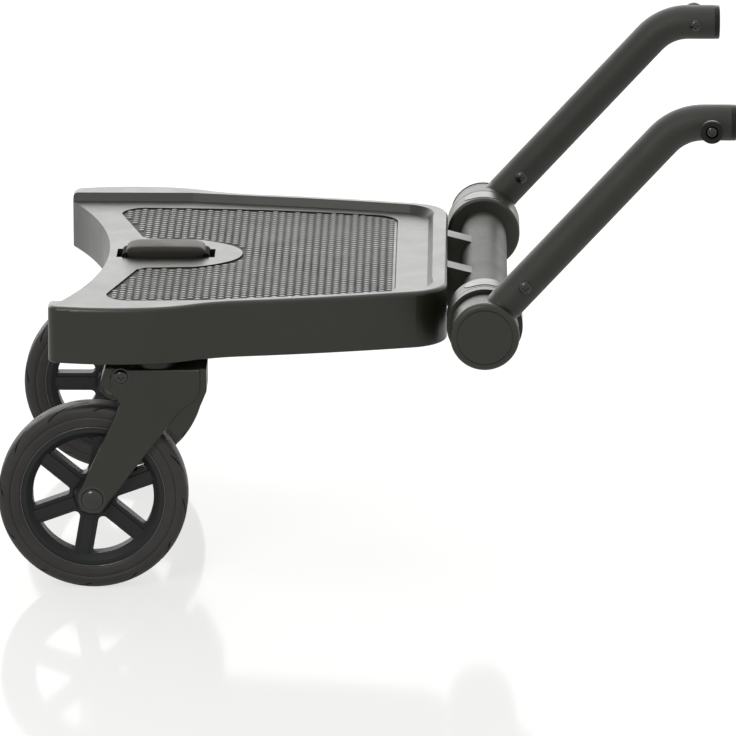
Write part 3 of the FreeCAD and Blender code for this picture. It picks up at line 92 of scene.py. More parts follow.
class GroupMaker:
    """Builds each shared effect once."""

    def get(self, which: Shelf) -> bpy.types.NodeTree:
        """Find or build a node group.

        Args:
            which: The effect that is wanted.

        Returns:
            The node group.
        """
        found = bpy.data.node_groups.get(which.value)
        if found:
            return found
        makers: dict[Shelf, Callable[[bpy.types.NodeTree], None]] = {
            Shelf.TONE: self._tone,
            Shelf.GRAIN: self._grain,
            Shelf.GLOSS: self._gloss,
            Shelf.WEAVE: self._weave,
        }
        tree = bpy.data.node_groups.new(which.value, "ShaderNodeTree")
        makers[which](tree)
        return tree

    @staticmethod
    def _sockets(
        tree: bpy.types.NodeTree, inputs: dict[str, str], outputs: dict[str, str]
    ) -> tuple[bpy.types.Node, bpy.types.Node]:
        """Give a group its named sockets.

        Args:
            tree: The group.
            inputs: Socket kind by input name.
            outputs: Socket kind by output name.

        Returns:
            The group's input node and output node.
        """
        for name, kind in inputs.items():
            tree.interface.new_socket(name, in_out="INPUT", socket_type=kind)
        for name, kind in outputs.items():
            tree.interface.new_socket(name, in_out="OUTPUT", socket_type=kind)
        return tree.nodes.new("NodeGroupInput"), tree.nodes.new("NodeGroupOutput")

    def _tone(self, tree: bpy.types.NodeTree) -> None:
        """Cloudy change between a fresh and a worn colour."""
        inputs = {
            "Vector": "NodeSocketVector",
            "Scale": "NodeSocketFloat",
            "Fresh": "NodeSocketColor",
            "Worn": "NodeSocketColor",
        }
        start, end = self._sockets(tree, inputs, {"Color": "NodeSocketColor"})
        noise = tree.nodes.new("ShaderNodeTexNoise")
        noise.inputs["Detail"].default_value = 5.0
        noise.inputs["Roughness"].default_value = 0.6
        spread = tree.nodes.new("ShaderNodeMapRange")
        spread.inputs["From Min"].default_value = 0.35
        spread.inputs["From Max"].default_value = 0.7
        mix = tree.nodes.new("ShaderNodeMix")
        mix.data_type = "RGBA"
        link = tree.links.new
        link(start.outputs["Vector"], noise.inputs["Vector"])
        link(start.outputs["Scale"], noise.inputs["Scale"])
        link(noise.outputs["Fac"], spread.inputs["Value"])
        colours = [socket for socket in mix.inputs if socket.type == "RGBA"]
        mixed = next(socket for socket in mix.outputs if socket.type == "RGBA")
        link(spread.outputs["Result"], mix.inputs["Factor"])
        link(start.outputs["Fresh"], colours[0])
        link(start.outputs["Worn"], colours[1])
        link(mixed, end.inputs["Color"])

    def _grain(self, tree: bpy.types.NodeTree) -> None:
        """Fine moulded or painted grain as a bump."""
        inputs = {
            "Vector": "NodeSocketVector",
            "Scale": "NodeSocketFloat",
            "Depth": "NodeSocketFloat",
        }
        start, end = self._sockets(tree, inputs, {"Normal": "NodeSocketVector"})
        noise = tree.nodes.new("ShaderNodeTexNoise")
        noise.inputs["Detail"].default_value = 2.0
        bump = tree.nodes.new("ShaderNodeBump")
        link = tree.links.new
        link(start.outputs["Vector"], noise.inputs["Vector"])
        link(start.outputs["Scale"], noise.inputs["Scale"])
        link(noise.outputs["Fac"], bump.inputs["Height"])
        link(start.outputs["Depth"], bump.inputs["Distance"])
        link(bump.outputs["Normal"], end.inputs["Normal"])

    def _gloss(self, tree: bpy.types.NodeTree) -> None:
        """Patches that hands and shoes have polished or dulled."""
        inputs = {
            "Vector": "NodeSocketVector",
            "Scale": "NodeSocketFloat",
            "Smooth": "NodeSocketFloat",
            "Rough": "NodeSocketFloat",
        }
        start, end = self._sockets(tree, inputs, {"Roughness": "NodeSocketFloat"})
        noise = tree.nodes.new("ShaderNodeTexNoise")
        noise.inputs["Detail"].default_value = 6.0
        noise.inputs["Distortion"].default_value = 0.6
        spread = tree.nodes.new("ShaderNodeMapRange")
        spread.inputs["From Min"].default_value = 0.3
        spread.inputs["From Max"].default_value = 0.7
        link = tree.links.new
        link(start.outputs["Vector"], noise.inputs["Vector"])
        link(start.outputs["Scale"], noise.inputs["Scale"])
        link(noise.outputs["Fac"], spread.inputs["Value"])
        link(start.outputs["Smooth"], spread.inputs["To Min"])
        link(start.outputs["Rough"], spread.inputs["To Max"])
        link(spread.outputs["Result"], end.inputs["Roughness"])

    def _weave(self, tree: bpy.types.NodeTree) -> None:
        """Crossing threads of woven webbing."""
        inputs = {
            "Vector": "NodeSocketVector",
            "Scale": "NodeSocketFloat",
            "Depth": "NodeSocketFloat",
        }
        start, end = self._sockets(tree, inputs, {"Normal": "NodeSocketVector"})
        link = tree.links.new
        threads = []
        for direction in ("X", "Y"):
            wave = tree.nodes.new("ShaderNodeTexWave")
            wave.bands_direction = direction
            link(start.outputs["Vector"], wave.inputs["Vector"])
            link(start.outputs["Scale"], wave.inputs["Scale"])
            threads.append(wave.outputs["Fac"])
        cross = tree.nodes.new("ShaderNodeMath")
        cross.operation = "MAXIMUM"
        bump = tree.nodes.new("ShaderNodeBump")
        link(threads[0], cross.inputs[0])
        link(threads[1], cross.inputs[1])
        link(cross.outputs["Value"], bump.inputs["Height"])
        link(start.outputs["Depth"], bump.inputs["Distance"])
        link(bump.outputs["Normal"], end.inputs["Normal"])


# Finishes


@dataclass(frozen=True)
class Finish:
    """One surface finish, with its grain, its uneven tone and its polish.

    Colours are linear, scales are features per metre and depths are metres.
    """

    name: str
    fresh: Colour
    worn: Colour
    smooth: float
    rough: float
    grain_scale: float
    grain_depth: float
    tone_scale: float = 22.0
    gloss_scale: float = 35.0
    specular: float = 0.5
    metallic: float = 0.0
    texture: Shelf = Shelf.GRAIN

    def material(self, groups: GroupMaker) -> bpy.types.Material:
        """Build this finish's material.

        Args:
            groups: Where the shared effects come from.

        Returns:
            The material.
        """
        material = bpy.data.materials.new(self.name)
        material.use_nodes = True
        tree = material.node_tree
        shader = tree.nodes["Principled BSDF"]
        shader.inputs["Specular IOR Level"].default_value = self.specular
        shader.inputs["Metallic"].default_value = self.metallic
        place = tree.nodes.new("ShaderNodeTexCoord").outputs["Object"]
        tone = self._effect(tree, groups, Shelf.TONE, place, Scale=self.tone_scale)
        tone.inputs["Fresh"].default_value = (*self.fresh, 1.0)
        tone.inputs["Worn"].default_value = (*self.worn, 1.0)
        gloss = self._effect(
            tree, groups, Shelf.GLOSS, place, Scale=self.gloss_scale, Smooth=self.smooth, Rough=self.rough
        )
        grain = self._effect(
            tree, groups, self.texture, place, Scale=self.grain_scale, Depth=self.grain_depth
        )
        tree.links.new(tone.outputs["Color"], shader.inputs["Base Color"])
        tree.links.new(gloss.outputs["Roughness"], shader.inputs["Roughness"])
        tree.links.new(grain.outputs["Normal"], shader.inputs["Normal"])
        return material

    @staticmethod
    def _effect(
        tree: bpy.types.NodeTree,
        groups: GroupMaker,
        which: Shelf,
        place: bpy.types.NodeSocket,
        **values: float,
    ) -> bpy.types.Node:
        """Place one shared effect in a material.

        Args:
            tree: The material's nodes.
            groups: Where the shared effects come from.
            which: The effect.
            place: Coordinates that the effect follows.
            **values: Numbers for the effect's inputs.

        Returns:
            The placed group node.
        """
        node = tree.nodes.new("ShaderNodeGroup")
        node.node_tree = groups.get(which)
        tree.links.new(place, node.inputs["Vector"])
        for name, value in values.items():
            node.inputs[name].default_value = value
        return node


DECK = Finish(
    "moulded_deck", (0.0085, 0.0081, 0.0036), (0.012, 0.0115, 0.0062), 0.32, 0.38, 1900.0, 12e-6
)
JOINT = Finish(
    "moulded_joint", (0.0095, 0.0093, 0.0045), (0.013, 0.0128, 0.0075), 0.38, 0.46, 2100.0, 12e-6
)
FORK = Finish(
    "moulded_fork", (0.0085, 0.008, 0.0038), (0.012, 0.0114, 0.0065), 0.36, 0.44, 1900.0, 12e-6
)
RIM = Finish(
    "moulded_rim", (0.0068, 0.0078, 0.0078), (0.0098, 0.011, 0.011), 0.48, 0.58, 1700.0, 12e-6,
    specular=0.34,
)
TUBE = Finish(
    "coated_tube", (0.0165, 0.0163, 0.0125), (0.021, 0.0207, 0.0165), 0.52, 0.6, 1300.0, 14e-6,
    specular=0.42,
)
TYRE = Finish(
    "worn_tyre", (0.02, 0.0184, 0.0168), (0.032, 0.0298, 0.0278), 0.46, 0.62, 900.0, 30e-6, specular=0.4
)
MAT = Finish(
    "studded_mat", (0.0165, 0.0162, 0.012), (0.023, 0.0226, 0.018), 0.34, 0.44, 1500.0, 14e-6,
    specular=0.78,
)
# Painted shade: a darker, duller colour for the mat's sheet between the studs, standing in for the shade in
# the valleys.
SHADED_VALLEY = Finish(
    "mat_valley_painted_shade", (0.0095, 0.0092, 0.0068), (0.014, 0.0136, 0.0106), 0.6, 0.74, 1500.0, 20e-6, specular=0.3
)
GRIP = Finish(
    "soft_grip", (0.024, 0.0218, 0.0172), (0.033, 0.03, 0.0245), 0.5, 0.6, 1700.0, 16e-6, specular=0.22
)
PEG = Finish(
    "moulded_peg", (0.0062, 0.0063, 0.0052), (0.009, 0.0091, 0.0078), 0.3, 0.4, 1800.0, 10e-6, specular=0.2
)
SCREW = Finish(
    "blackened_screw", (0.004, 0.004, 0.0035), (0.007, 0.007, 0.0063), 0.14, 0.22, 1200.0, 4e-6,
    specular=0.6,
)
BEAD = Finish(
    "polished_bead", (0.03, 0.03, 0.03), (0.045, 0.045, 0.045), 0.16, 0.24, 1200.0, 4e-6, specular=0.9
)
STEEL = Finish(
    "plated_steel", (0.42, 0.42, 0.42), (0.5, 0.5, 0.5), 0.25, 0.4, 1500.0, 8e-6, metallic=1.0
)
BUSH = Finish(
    "moulded_bush", (0.006, 0.006, 0.006), (0.01, 0.01, 0.01), 0.3, 0.4, 1700.0, 8e-6, specular=0.35
)
BUTTON = Finish(
    "moulded_button", (0.0095, 0.0093, 0.005), (0.013, 0.0128, 0.008), 0.28, 0.36, 1900.0, 8e-6
)
STRAP = Finish(
    "woven_strap", (0.005, 0.005, 0.005), (0.009, 0.009, 0.0085), 0.75, 0.9, 260.0, 250e-6,
    specular=0.1, texture=Shelf.WEAVE,
)


# Mesh helpers


class Workshop:
    """Turns meshes into pieces of the board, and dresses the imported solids."""

    def __init__(self) -> None:
        """Start with no materials mixed."""
        self.groups = GroupMaker()
        self.mixed: dict[str, bpy.types.Material] = {}

    def coat(self, finish: Finish) -> bpy.types.Material:
        """Find or build the material of a finish.

        Args:
            finish: The finish.

        Returns:
            Its material.
        """
        if finish.name not in self.mixed:
            self.mixed[finish.name] = finish.material(self.groups)
        return self.mixed[finish.name]

    def dress(self, node: str, finish: Finish) -> None:
        """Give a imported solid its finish.

        Args:
            node: The solid's name.
            finish: The finish it gets.
        """
        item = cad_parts[node]
        item.data.materials.clear()
        item.data.materials.append(self.coat(finish))
        LOG.info("%s dressed in %s", node, finish.name)

    def piece(
        self,
        shape: bmesh.types.BMesh,
        name: str,
        finish: Finish,
        body: str,
        slot: str,
        sharp_deg: float = 40.0,
    ) -> bpy.types.Object:
        """Turn a finished shape into a piece that rides on a body.

        Args:
            shape: The shape, in place. It is freed.
            name: Name of the piece.
            finish: Its finish.
            body: The body that it moves with.
            slot: Not used.
            sharp_deg: Edges that bend by more than this stay sharp.

        Returns:
            The new object.
        """
        for face in shape.faces:
            face.smooth = True
        mesh = bpy.data.meshes.new(name)
        shape.to_mesh(mesh)
        shape.free()
        mesh.set_sharp_from_angle(angle=math.radians(sharp_deg))
        mesh.materials.append(self.coat(finish))
        item = bpy.data.objects.new(name, mesh)
        bpy.context.scene.collection.objects.link(item)
        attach(item, body)
        LOG.info("%s made, %d faces", name, len(mesh.polygons))
        return item


def face_along(direction: Vector, centre: Vector) -> Matrix:
    """Matrix that turns local +Z to a direction and moves the origin to a point.

    Args:
        direction: Where +Z goes.
        centre: Where the origin goes.

    Returns:
        The matrix.
    """
    return Matrix.Translation(centre) @ direction.to_track_quat("Z", "Y").to_matrix().to_4x4()


def middle(box: Box) -> Vector:
    """Centre of a box."""
    return (box[0] + box[1]) / 2


def everything(shape: bmesh.types.BMesh) -> list:
    """All corners, edges and faces of a shape."""
    return shape.verts[:] + shape.edges[:] + shape.faces[:]


def close(shape: bmesh.types.BMesh) -> None:
    """Drop the slivers of a shape, fill its open sides and turn its faces outwards.

    Args:
        shape: The shape.
    """
    bmesh.ops.dissolve_degenerate(shape, dist=SNAP, edges=shape.edges)
    rim = [edge for edge in shape.edges if edge.is_boundary]
    bmesh.ops.holes_fill(shape, edges=rim, sides=0)
    bmesh.ops.recalc_face_normals(shape, faces=shape.faces)


def join(shape: bmesh.types.BMesh, part: bmesh.types.BMesh, seat: Matrix) -> None:
    """Add a part to a shape.

    Args:
        shape: The shape that grows.
        part: The part, about its own origin. It is freed.
        seat: Where the part goes.
    """
    bmesh.ops.transform(part, matrix=seat, verts=part.verts)
    carrier = bpy.data.meshes.new("carrier")
    part.to_mesh(carrier)
    part.free()
    shape.from_mesh(carrier)
    bpy.data.meshes.remove(carrier)


def ring(
    radius: float, width: float, height: float, steps: int = 120, sides: int = 10
) -> bmesh.types.BMesh:
    """A rounded ring about local Z.

    Args:
        radius: Radius at the middle of the ring's section.
        width: Half of the section's size along Z.
        height: Half of the section's size away from the axis.
        steps: Divisions round the ring.
        sides: Divisions round its section.

    Returns:
        The ring.
    """
    part = bmesh.new()
    turn = Matrix.Rotation(math.pi / 2, 4, "X")
    flatten = Matrix.Diagonal((height, 1.0, width, 1.0))
    place = Matrix.Translation((radius, 0.0, 0.0)) @ flatten @ turn
    section = bmesh.ops.create_circle(part, segments=sides, radius=1.0, matrix=place)["verts"]
    bmesh.ops.spin(
        part,
        geom=section + part.edges[:],
        cent=(0, 0, 0),
        axis=(0, 0, 1),
        angle=2 * math.pi,
        steps=steps,
        use_merge=True,
    )
    bmesh.ops.recalc_face_normals(part, faces=part.faces)
    return part


# Sub-assemblies


class Assembly(Protocol):
    """A part of the board that can build itself."""

    def build(self) -> None:
        """Make the pieces and dress the solids."""


@dataclass
class DomedHead:
    """Round screw head with a crown and, where it has one, a cross recess."""

    radius: float
    height: float
    cross: float = 0.0
    cross_width: float = 0.7 * MM
    cross_depth: float = 0.9 * MM
    cross_slope: float = 0.05 * MM
    segments: int = 40
    levels: int = 14

    def shape(self) -> bmesh.types.BMesh:
        """The head, standing on local Z = 0."""
        head = bmesh.new()
        bmesh.ops.create_uvsphere(head, u_segments=self.segments, v_segments=self.levels, radius=1.0)
        size = Matrix.Diagonal((self.radius, self.radius, self.height, 1.0))
        bmesh.ops.transform(head, matrix=size, verts=head.verts)
        bmesh.ops.bisect_plane(
            head,
            geom=everything(head),
            dist=SNAP,
            plane_co=(0, 0, 0),
            plane_no=(0, 0, 1),
            clear_inner=True,
        )
        close(head)
        if self.cross:
            self._sink_cross(head)
        return head

    def _sink_cross(self, head: bmesh.types.BMesh) -> None:
        """Press a cross into the crown.

        Args:
            head: The plain head.
        """
        for side in (Vector((1, 0, 0)), Vector((0, 1, 0))):
            for reach in (self.cross, self.cross_width, -self.cross_width, -self.cross):
                bmesh.ops.bisect_plane(
                    head, geom=everything(head), dist=SNAP, plane_co=side * reach, plane_no=side
                )
        chosen = []
        for face in head.faces:
            spot = face.calc_center_median()
            near, far = sorted((abs(spot.x), abs(spot.y)))
            if face.normal.z > 0.0 and near < self.cross_width and far < self.cross:
                chosen.append(face)
        bmesh.ops.inset_region(
            head,
            faces=chosen,
            thickness=self.cross_slope,
            depth=-self.cross_depth,
            use_even_offset=True,
        )


@dataclass
class ScrewMaker:
    """Replaces the plain packed screws with ones that have finished heads."""

    workshop: Workshop
    segments: int = 28
    washer_half: float = 0.35 * MM
    washer_lap: float = 0.4 * MM
    washer_steps: int = 64

    def cross_bolt(self, node: str, body: str, shank: float, near: DomedHead, far: DomedHead) -> None:
        """A bolt along Y with a head at each end.

        Args:
            node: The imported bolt.
            body: The body that it moves with.
            shank: Radius of its shank.
            near: Head at the lower Y end.
            far: Head at the higher Y end.
        """
        low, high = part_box(node)
        centre = middle((low, high))
        near_seat = Vector((centre.x, low.y + near.height, centre.z))
        far_seat = Vector((centre.x, high.y - far.height, centre.z))
        shape = bmesh.new()
        join(shape, near.shape(), face_along(Vector((0, -1, 0)), near_seat))
        join(shape, far.shape(), face_along(Vector((0, 1, 0)), far_seat))
        self._shank(shape, shank, near_seat, far_seat)
        self._finish(shape, node, body)

    def side_screw(
        self, node: str, body: str, side: Side, shank: float, head: DomedHead, washer: float
    ) -> None:
        """A screw along Y with its head on the board's outer side.

        Args:
            node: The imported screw.
            body: The body that it moves with.
            side: The side of the board that it is on.
            shank: Radius of its shank.
            head: Its head.
            washer: Radius of the washer under the head.
        """
        low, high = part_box(node)
        centre = middle((low, high))
        outward = Vector((0, side.sign, 0))
        tip, end = (low.y, high.y) if side is Side.LEFT else (high.y, low.y)
        seat = Vector((centre.x, end - head.height * side.sign, centre.z))
        shape = bmesh.new()
        join(shape, head.shape(), face_along(outward, seat))
        half_span = (washer - head.radius) / 2 + self.washer_lap
        plate = ring((head.radius + washer) / 2, self.washer_half, half_span, self.washer_steps)
        join(shape, plate, face_along(outward, seat))
        self._shank(shape, shank, seat, Vector((centre.x, tip, centre.z)))
        self._finish(shape, node, body)

    def _shank(self, shape: bmesh.types.BMesh, radius: float, start: Vector, end: Vector) -> None:
        """Round bar between two points.

        Args:
            shape: The shape that it joins.
            radius: Radius of the bar.
            start: One end.
            end: The other end.
        """
        bmesh.ops.create_cone(
            shape,
            cap_ends=True,
            segments=self.segments,
            radius1=radius,
            radius2=radius,
            depth=(end - start).length,
            matrix=face_along((end - start).normalized(), (start + end) / 2),
        )

    def _finish(self, shape: bmesh.types.BMesh, node: str, body: str) -> None:
        """Turn a screw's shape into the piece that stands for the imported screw.

        Args:
            shape: The screw.
            node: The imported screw.
            body: The body that it moves with.
        """
        piece = self.workshop.piece(shape, f"{node}_finished", SCREW, body, "dark_fastener", sharp_deg=35.0)
        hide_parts(node)


@dataclass
class Board:
    """The deck with its mat, cross tube and brackets."""

    workshop: Workshop
    stud_pitch_along: float = 6.1 * MM
    stud_pitch_across: float = 6.8 * MM
    stud_half_length: float = 2.7 * MM
    stud_half_width: float = 2.5 * MM
    stud_flat_share: float = 0.66
    stud_height: float = 1.0 * MM
    stud_sink: float = 0.1 * MM
    stud_segments: int = 10
    stud_levels: int = 6
    merge_within: float = 0.01 * MM
    flat_within_deg: float = 1.0
    lip: float = 0.5 * MM
    lip_steps: int = 2
    border: float = 2.9 * MM
    front_border: float = 4.5 * MM

    def build(self) -> None:
        """Dress the board's solids and stud its mat."""
        finishes = {
            "deck_board": DECK,
            "deck_ribs": DECK,
            "cross_tube": TUBE,
            "right_tube_bracket": JOINT,
            "left_tube_bracket": JOINT,
            "bracket_screws": STEEL,
            "right_stem_socket": BUSH,
            "left_stem_socket": BUSH,
        }
        for node, finish in finishes.items():
            self.workshop.dress(node, finish)
        self._stud_mat()

    def _mat_sheet(self) -> bmesh.types.BMesh:
        """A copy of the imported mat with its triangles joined."""
        sheet = bmesh.new()
        sheet.from_mesh(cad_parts["grip_mat"].data)
        bmesh.ops.remove_doubles(sheet, verts=sheet.verts, dist=self.merge_within)
        bmesh.ops.dissolve_limit(
            sheet,
            angle_limit=math.radians(self.flat_within_deg),
            verts=sheet.verts,
            edges=sheet.edges,
        )
        return sheet

    @staticmethod
    def _rim_edges(sheet: bmesh.types.BMesh) -> list:
        """Edges round the mat's top face."""
        rim = []
        for edge in sheet.edges:
            tops = [face for face in edge.link_faces if face.normal.z > FACING_UP]
            if len(tops) == 1:
                rim.append(edge)
        return rim

    def _fits(self, spot: Vector, lines: list[tuple[Vector, Vector]], front: float) -> bool:
        """Whether a stud's centre lies inside the mat and clear of its border.

        Args:
            spot: The centre, in plan.
            lines: Border lines of the mat.
            front: X of the mat's front edge.

        Returns:
            True where a stud goes.
        """
        if spot.x > front - self.front_border:
            return False
        crossings = 0
        for start, end in lines:
            if (start.y > spot.y) != (end.y > spot.y):
                share = (spot.y - start.y) / (end.y - start.y)
                crossings += start.x + share * (end.x - start.x) > spot.x
            run = end - start
            along = max(0.0, min(1.0, (spot - start).dot(run) / run.length_squared))
            if (start + run * along - spot).length < self.border:
                return False
        return crossings % 2 == 1

    def _stud(self) -> bmesh.types.BMesh:
        """One low flat-topped stud, longer along the board than across it, on local Z = 0."""
        stud = bmesh.new()
        bmesh.ops.create_uvsphere(
            stud, u_segments=self.stud_segments, v_segments=self.stud_levels, radius=1.0
        )
        height = self.stud_height + self.stud_sink
        full_height = height / self.stud_flat_share
        size = Matrix.Diagonal((self.stud_half_length, self.stud_half_width, full_height, 1.0))
        bmesh.ops.transform(stud, matrix=size, verts=stud.verts)
        for level, way in ((0.0, 1), (height, -1)):
            bmesh.ops.bisect_plane(
                stud,
                geom=everything(stud),
                dist=SNAP,
                plane_co=(0, 0, level),
                plane_no=(0, 0, way),
                clear_inner=True,
            )
        close(stud)
        return stud

    def _stud_field(self, low: Vector, high: Vector) -> tuple[bmesh.types.BMesh, Vector]:
        """Staggered rows of studs over a box.

        Args:
            low: The box's lowest corner.
            high: The box's highest corner.

        Returns:
            The studs, and the place of the first one.
        """
        pairs = int((high.x - low.x) / self.stud_pitch_along / 2)
        rows = int((high.y - low.y) / self.stud_pitch_across / 2) * 2
        first = Vector((low.x, -rows / 2 * self.stud_pitch_across, high.z - self.stud_sink))
        stagger = Vector((self.stud_pitch_along, self.stud_pitch_across / 2, 0.0))
        field = bmesh.new()
        join(field, self._stud(), Matrix.Translation(first))
        join(field, self._stud(), Matrix.Translation(first + stagger))
        for step, count in (
            (Vector((self.stud_pitch_along * 2, 0.0, 0.0)), pairs),
            (Vector((0.0, self.stud_pitch_across, 0.0)), rows),
        ):
            bmesh.ops.spin(
                field,
                geom=everything(field),
                cent=(0, 0, 0),
                axis=(0, 0, 1),
                dvec=step,
                angle=0.0,
                steps=count,
                use_duplicate=True,
            )
        return field, first

    def _stud_mat(self) -> None:
        """Make the mat: a sheet with a rounded lip under staggered rows of studs, the sheet between the
        studs coloured darker as painted shade.
        """
        low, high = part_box("grip_mat")
        sheet = self._mat_sheet()
        lines = [tuple(vert.co.xy for vert in edge.verts) for edge in self._rim_edges(sheet)]
        studs, first = self._stud_field(low, high)
        spare = []
        wanted: dict[tuple[int, int], bool] = {}
        for vert in studs.verts:
            column = round((vert.co.x - first.x) / self.stud_pitch_along)
            start = first.y + (column % 2) * self.stud_pitch_across / 2
            row = round((vert.co.y - start) / self.stud_pitch_across)
            if (column, row) not in wanted:
                along = first.x + column * self.stud_pitch_along
                across = start + row * self.stud_pitch_across
                wanted[column, row] = self._fits(Vector((along, across)), lines, high.x)
            if not wanted[column, row]:
                spare.append(vert)
        bmesh.ops.delete(studs, geom=spare, context="VERTS")
        bmesh.ops.bevel(
            sheet,
            geom=self._rim_edges(sheet),
            offset=self.lip,
            segments=self.lip_steps,
            profile=0.5,
            affect="EDGES",
            material=-1,
        )
        strip = high.x - self.front_border
        bmesh.ops.bisect_plane(
            sheet, geom=everything(sheet), dist=SNAP, plane_co=(strip, 0, 0), plane_no=(1, 0, 0)
        )
        # Sheet faces behind the front strip take the second material, the painted shade of the valleys
        # between the studs; the front strip and the studs keep the mat's own colour.
        for face in sheet.faces:
            face.material_index = int(face.calc_center_median().x < strip)
        join(sheet, studs, Matrix.Identity(4))
        piece = self.workshop.piece(sheet, "studded_mat", MAT, "board", "mat_rubber", sharp_deg=46.0)
        piece.data.materials.append(self.workshop.coat(SHADED_VALLEY))
        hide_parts("grip_mat")


@dataclass
class LiftHandle:
    """A soft grip on a webbing loop that runs through two slots of the deck."""

    workshop: Workshop
    grip_widen: float = 1.4 * MM
    grip_rise: float = 1.6 * MM
    grip_taper: float = 9.0 * MM
    grip_round: float = 4.2 * MM
    grip_round_steps: int = 3
    grip_smoothing: int = 2
    end_width_share: float = 0.8
    end_height_share: float = 0.68
    strap_width: float = 23.5 * MM
    strap_thickness: float = 1.8 * MM
    strap_bend: float = 2.2 * MM
    strap_inset: float = 2.1 * MM
    bar_height: float = 4.0 * MM
    bar_length: float = 7.0 * MM
    bar_round_steps: int = 2
    bend_steps: int = 8

    def build(self) -> None:
        """Make the grip, the webbing and its stop bars."""
        self._grip()
        self._strap()

    def _grip(self) -> None:
        """A full rounded bar with tapered ends."""
        low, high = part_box("lift_grip")
        high = high + Vector((0.0, self.grip_widen, self.grip_rise))
        low = low - Vector((0.0, self.grip_widen, 0.0))
        size = high - low
        shape = bmesh.new()
        bmesh.ops.create_cube(shape, size=1.0)
        bmesh.ops.transform(shape, matrix=Matrix.Diagonal((*size, 1.0)), verts=shape.verts)
        taper = size.x / 2 - self.grip_taper
        for reach in (-taper, taper):
            bmesh.ops.bisect_plane(
                shape, geom=everything(shape), plane_co=(reach, 0, 0), plane_no=(1, 0, 0)
            )
        ends = [vert for vert in shape.verts if abs(vert.co.x) > taper + self.strap_thickness]
        narrow = Matrix.Diagonal((1.0, self.end_width_share, self.end_height_share, 1.0))
        bmesh.ops.transform(shape, matrix=narrow, verts=ends)
        bmesh.ops.bevel(
            shape,
            geom=shape.edges[:],
            offset=self.grip_round,
            segments=self.grip_round_steps,
            profile=0.5,
            affect="EDGES",
            clamp_overlap=True,
            material=-1,
        )
        bmesh.ops.translate(shape, vec=middle((low, high)), verts=shape.verts)
        piece = self.workshop.piece(shape, "soft_grip", GRIP, "lift_handle", "grip_rubber", sharp_deg=180.0)
        rounding = piece.modifiers.new("rounding", "SUBSURF")
        rounding.levels = self.grip_smoothing
        rounding.render_levels = self.grip_smoothing
        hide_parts("lift_grip")

    def _strap(self) -> None:
        """Webbing that turns down into both slots, with a bar sewn in at each end."""
        low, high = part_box("lift_strap")
        bar_reach = (high.x - low.x) / 2 - self.bar_length / 2
        reach = bar_reach - self.strap_inset
        centre = middle((low, high))
        top = high.z - self.strap_thickness / 2
        rise = top - self.strap_bend - low.z
        shape = bmesh.new()
        start = Matrix.Translation((centre.x - reach, 0.0, low.z))
        corners = bmesh.ops.create_grid(shape, x_segments=1, y_segments=1, size=0.5, matrix=start)["verts"]
        spot = Vector((centre.x - reach, 0.0, low.z))
        size = Matrix.Diagonal((self.strap_thickness, self.strap_width, 1.0, 1.0))
        bmesh.ops.transform(shape, matrix=size, space=Matrix.Translation(-spot), verts=corners)
        run = 2 * (reach - self.strap_bend)
        end = self._push(shape, shape.faces[:], Vector((0.0, 0.0, rise)))
        end = self._bend(shape, end, Vector((centre.x - reach + self.strap_bend, 0.0, low.z + rise)))
        end = self._push(shape, end, Vector((run, 0.0, 0.0)))
        end = self._bend(shape, end, Vector((centre.x + reach - self.strap_bend, 0.0, low.z + rise)))
        self._push(shape, end, Vector((0.0, 0.0, -rise)))
        for sign in (-1, 1):
            bar = bmesh.new()
            bmesh.ops.create_cube(bar, size=1.0)
            bulk = Matrix.Diagonal((self.bar_length, high.y - low.y, self.bar_height, 1.0))
            bmesh.ops.transform(bar, matrix=bulk, verts=bar.verts)
            bmesh.ops.bevel(
                bar,
                geom=bar.edges[:],
                offset=self.bar_height / 4,
                segments=self.bar_round_steps,
                profile=0.5,
                affect="EDGES",
                material=-1,
            )
            place = Vector((centre.x + bar_reach * sign, 0.0, low.z + self.bar_height / 2))
            join(shape, bar, Matrix.Translation(place))
        bmesh.ops.recalc_face_normals(shape, faces=shape.faces)
        piece = self.workshop.piece(shape, "woven_strap", STRAP, "lift_handle", "webbing", sharp_deg=50.0)
        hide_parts("lift_strap")

    @staticmethod
    def _push(shape: bmesh.types.BMesh, faces: list, way: Vector) -> list:
        """Extrude the strap's end face straight on.

        Args:
            shape: The strap so far.
            faces: Its end face.
            way: How far it goes.

        Returns:
            The new end face.
        """
        edges = [edge for face in faces for edge in face.edges]
        grown = bmesh.ops.extrude_face_region(shape, geom=faces + edges)["geom"]
        corners = [item for item in grown if isinstance(item, bmesh.types.BMVert)]
        bmesh.ops.translate(shape, vec=way, verts=corners)
        return [item for item in grown if isinstance(item, bmesh.types.BMFace)]

    def _bend(self, shape: bmesh.types.BMesh, faces: list, centre: Vector) -> list:
        """Carry the strap's end face round a quarter turn.

        Args:
            shape: The strap so far.
            faces: Its end face.
            centre: A point on the bend's axis, which is along Y.

        Returns:
            The new end face.
        """
        edges = [edge for face in faces for edge in face.edges]
        turned = bmesh.ops.spin(
            shape,
            geom=faces + edges,
            cent=centre,
            axis=(0, 1, 0),
            angle=math.pi / 2,
            steps=self.bend_steps,
        )["geom_last"]
        return [item for item in turned if isinstance(item, bmesh.types.BMFace)]


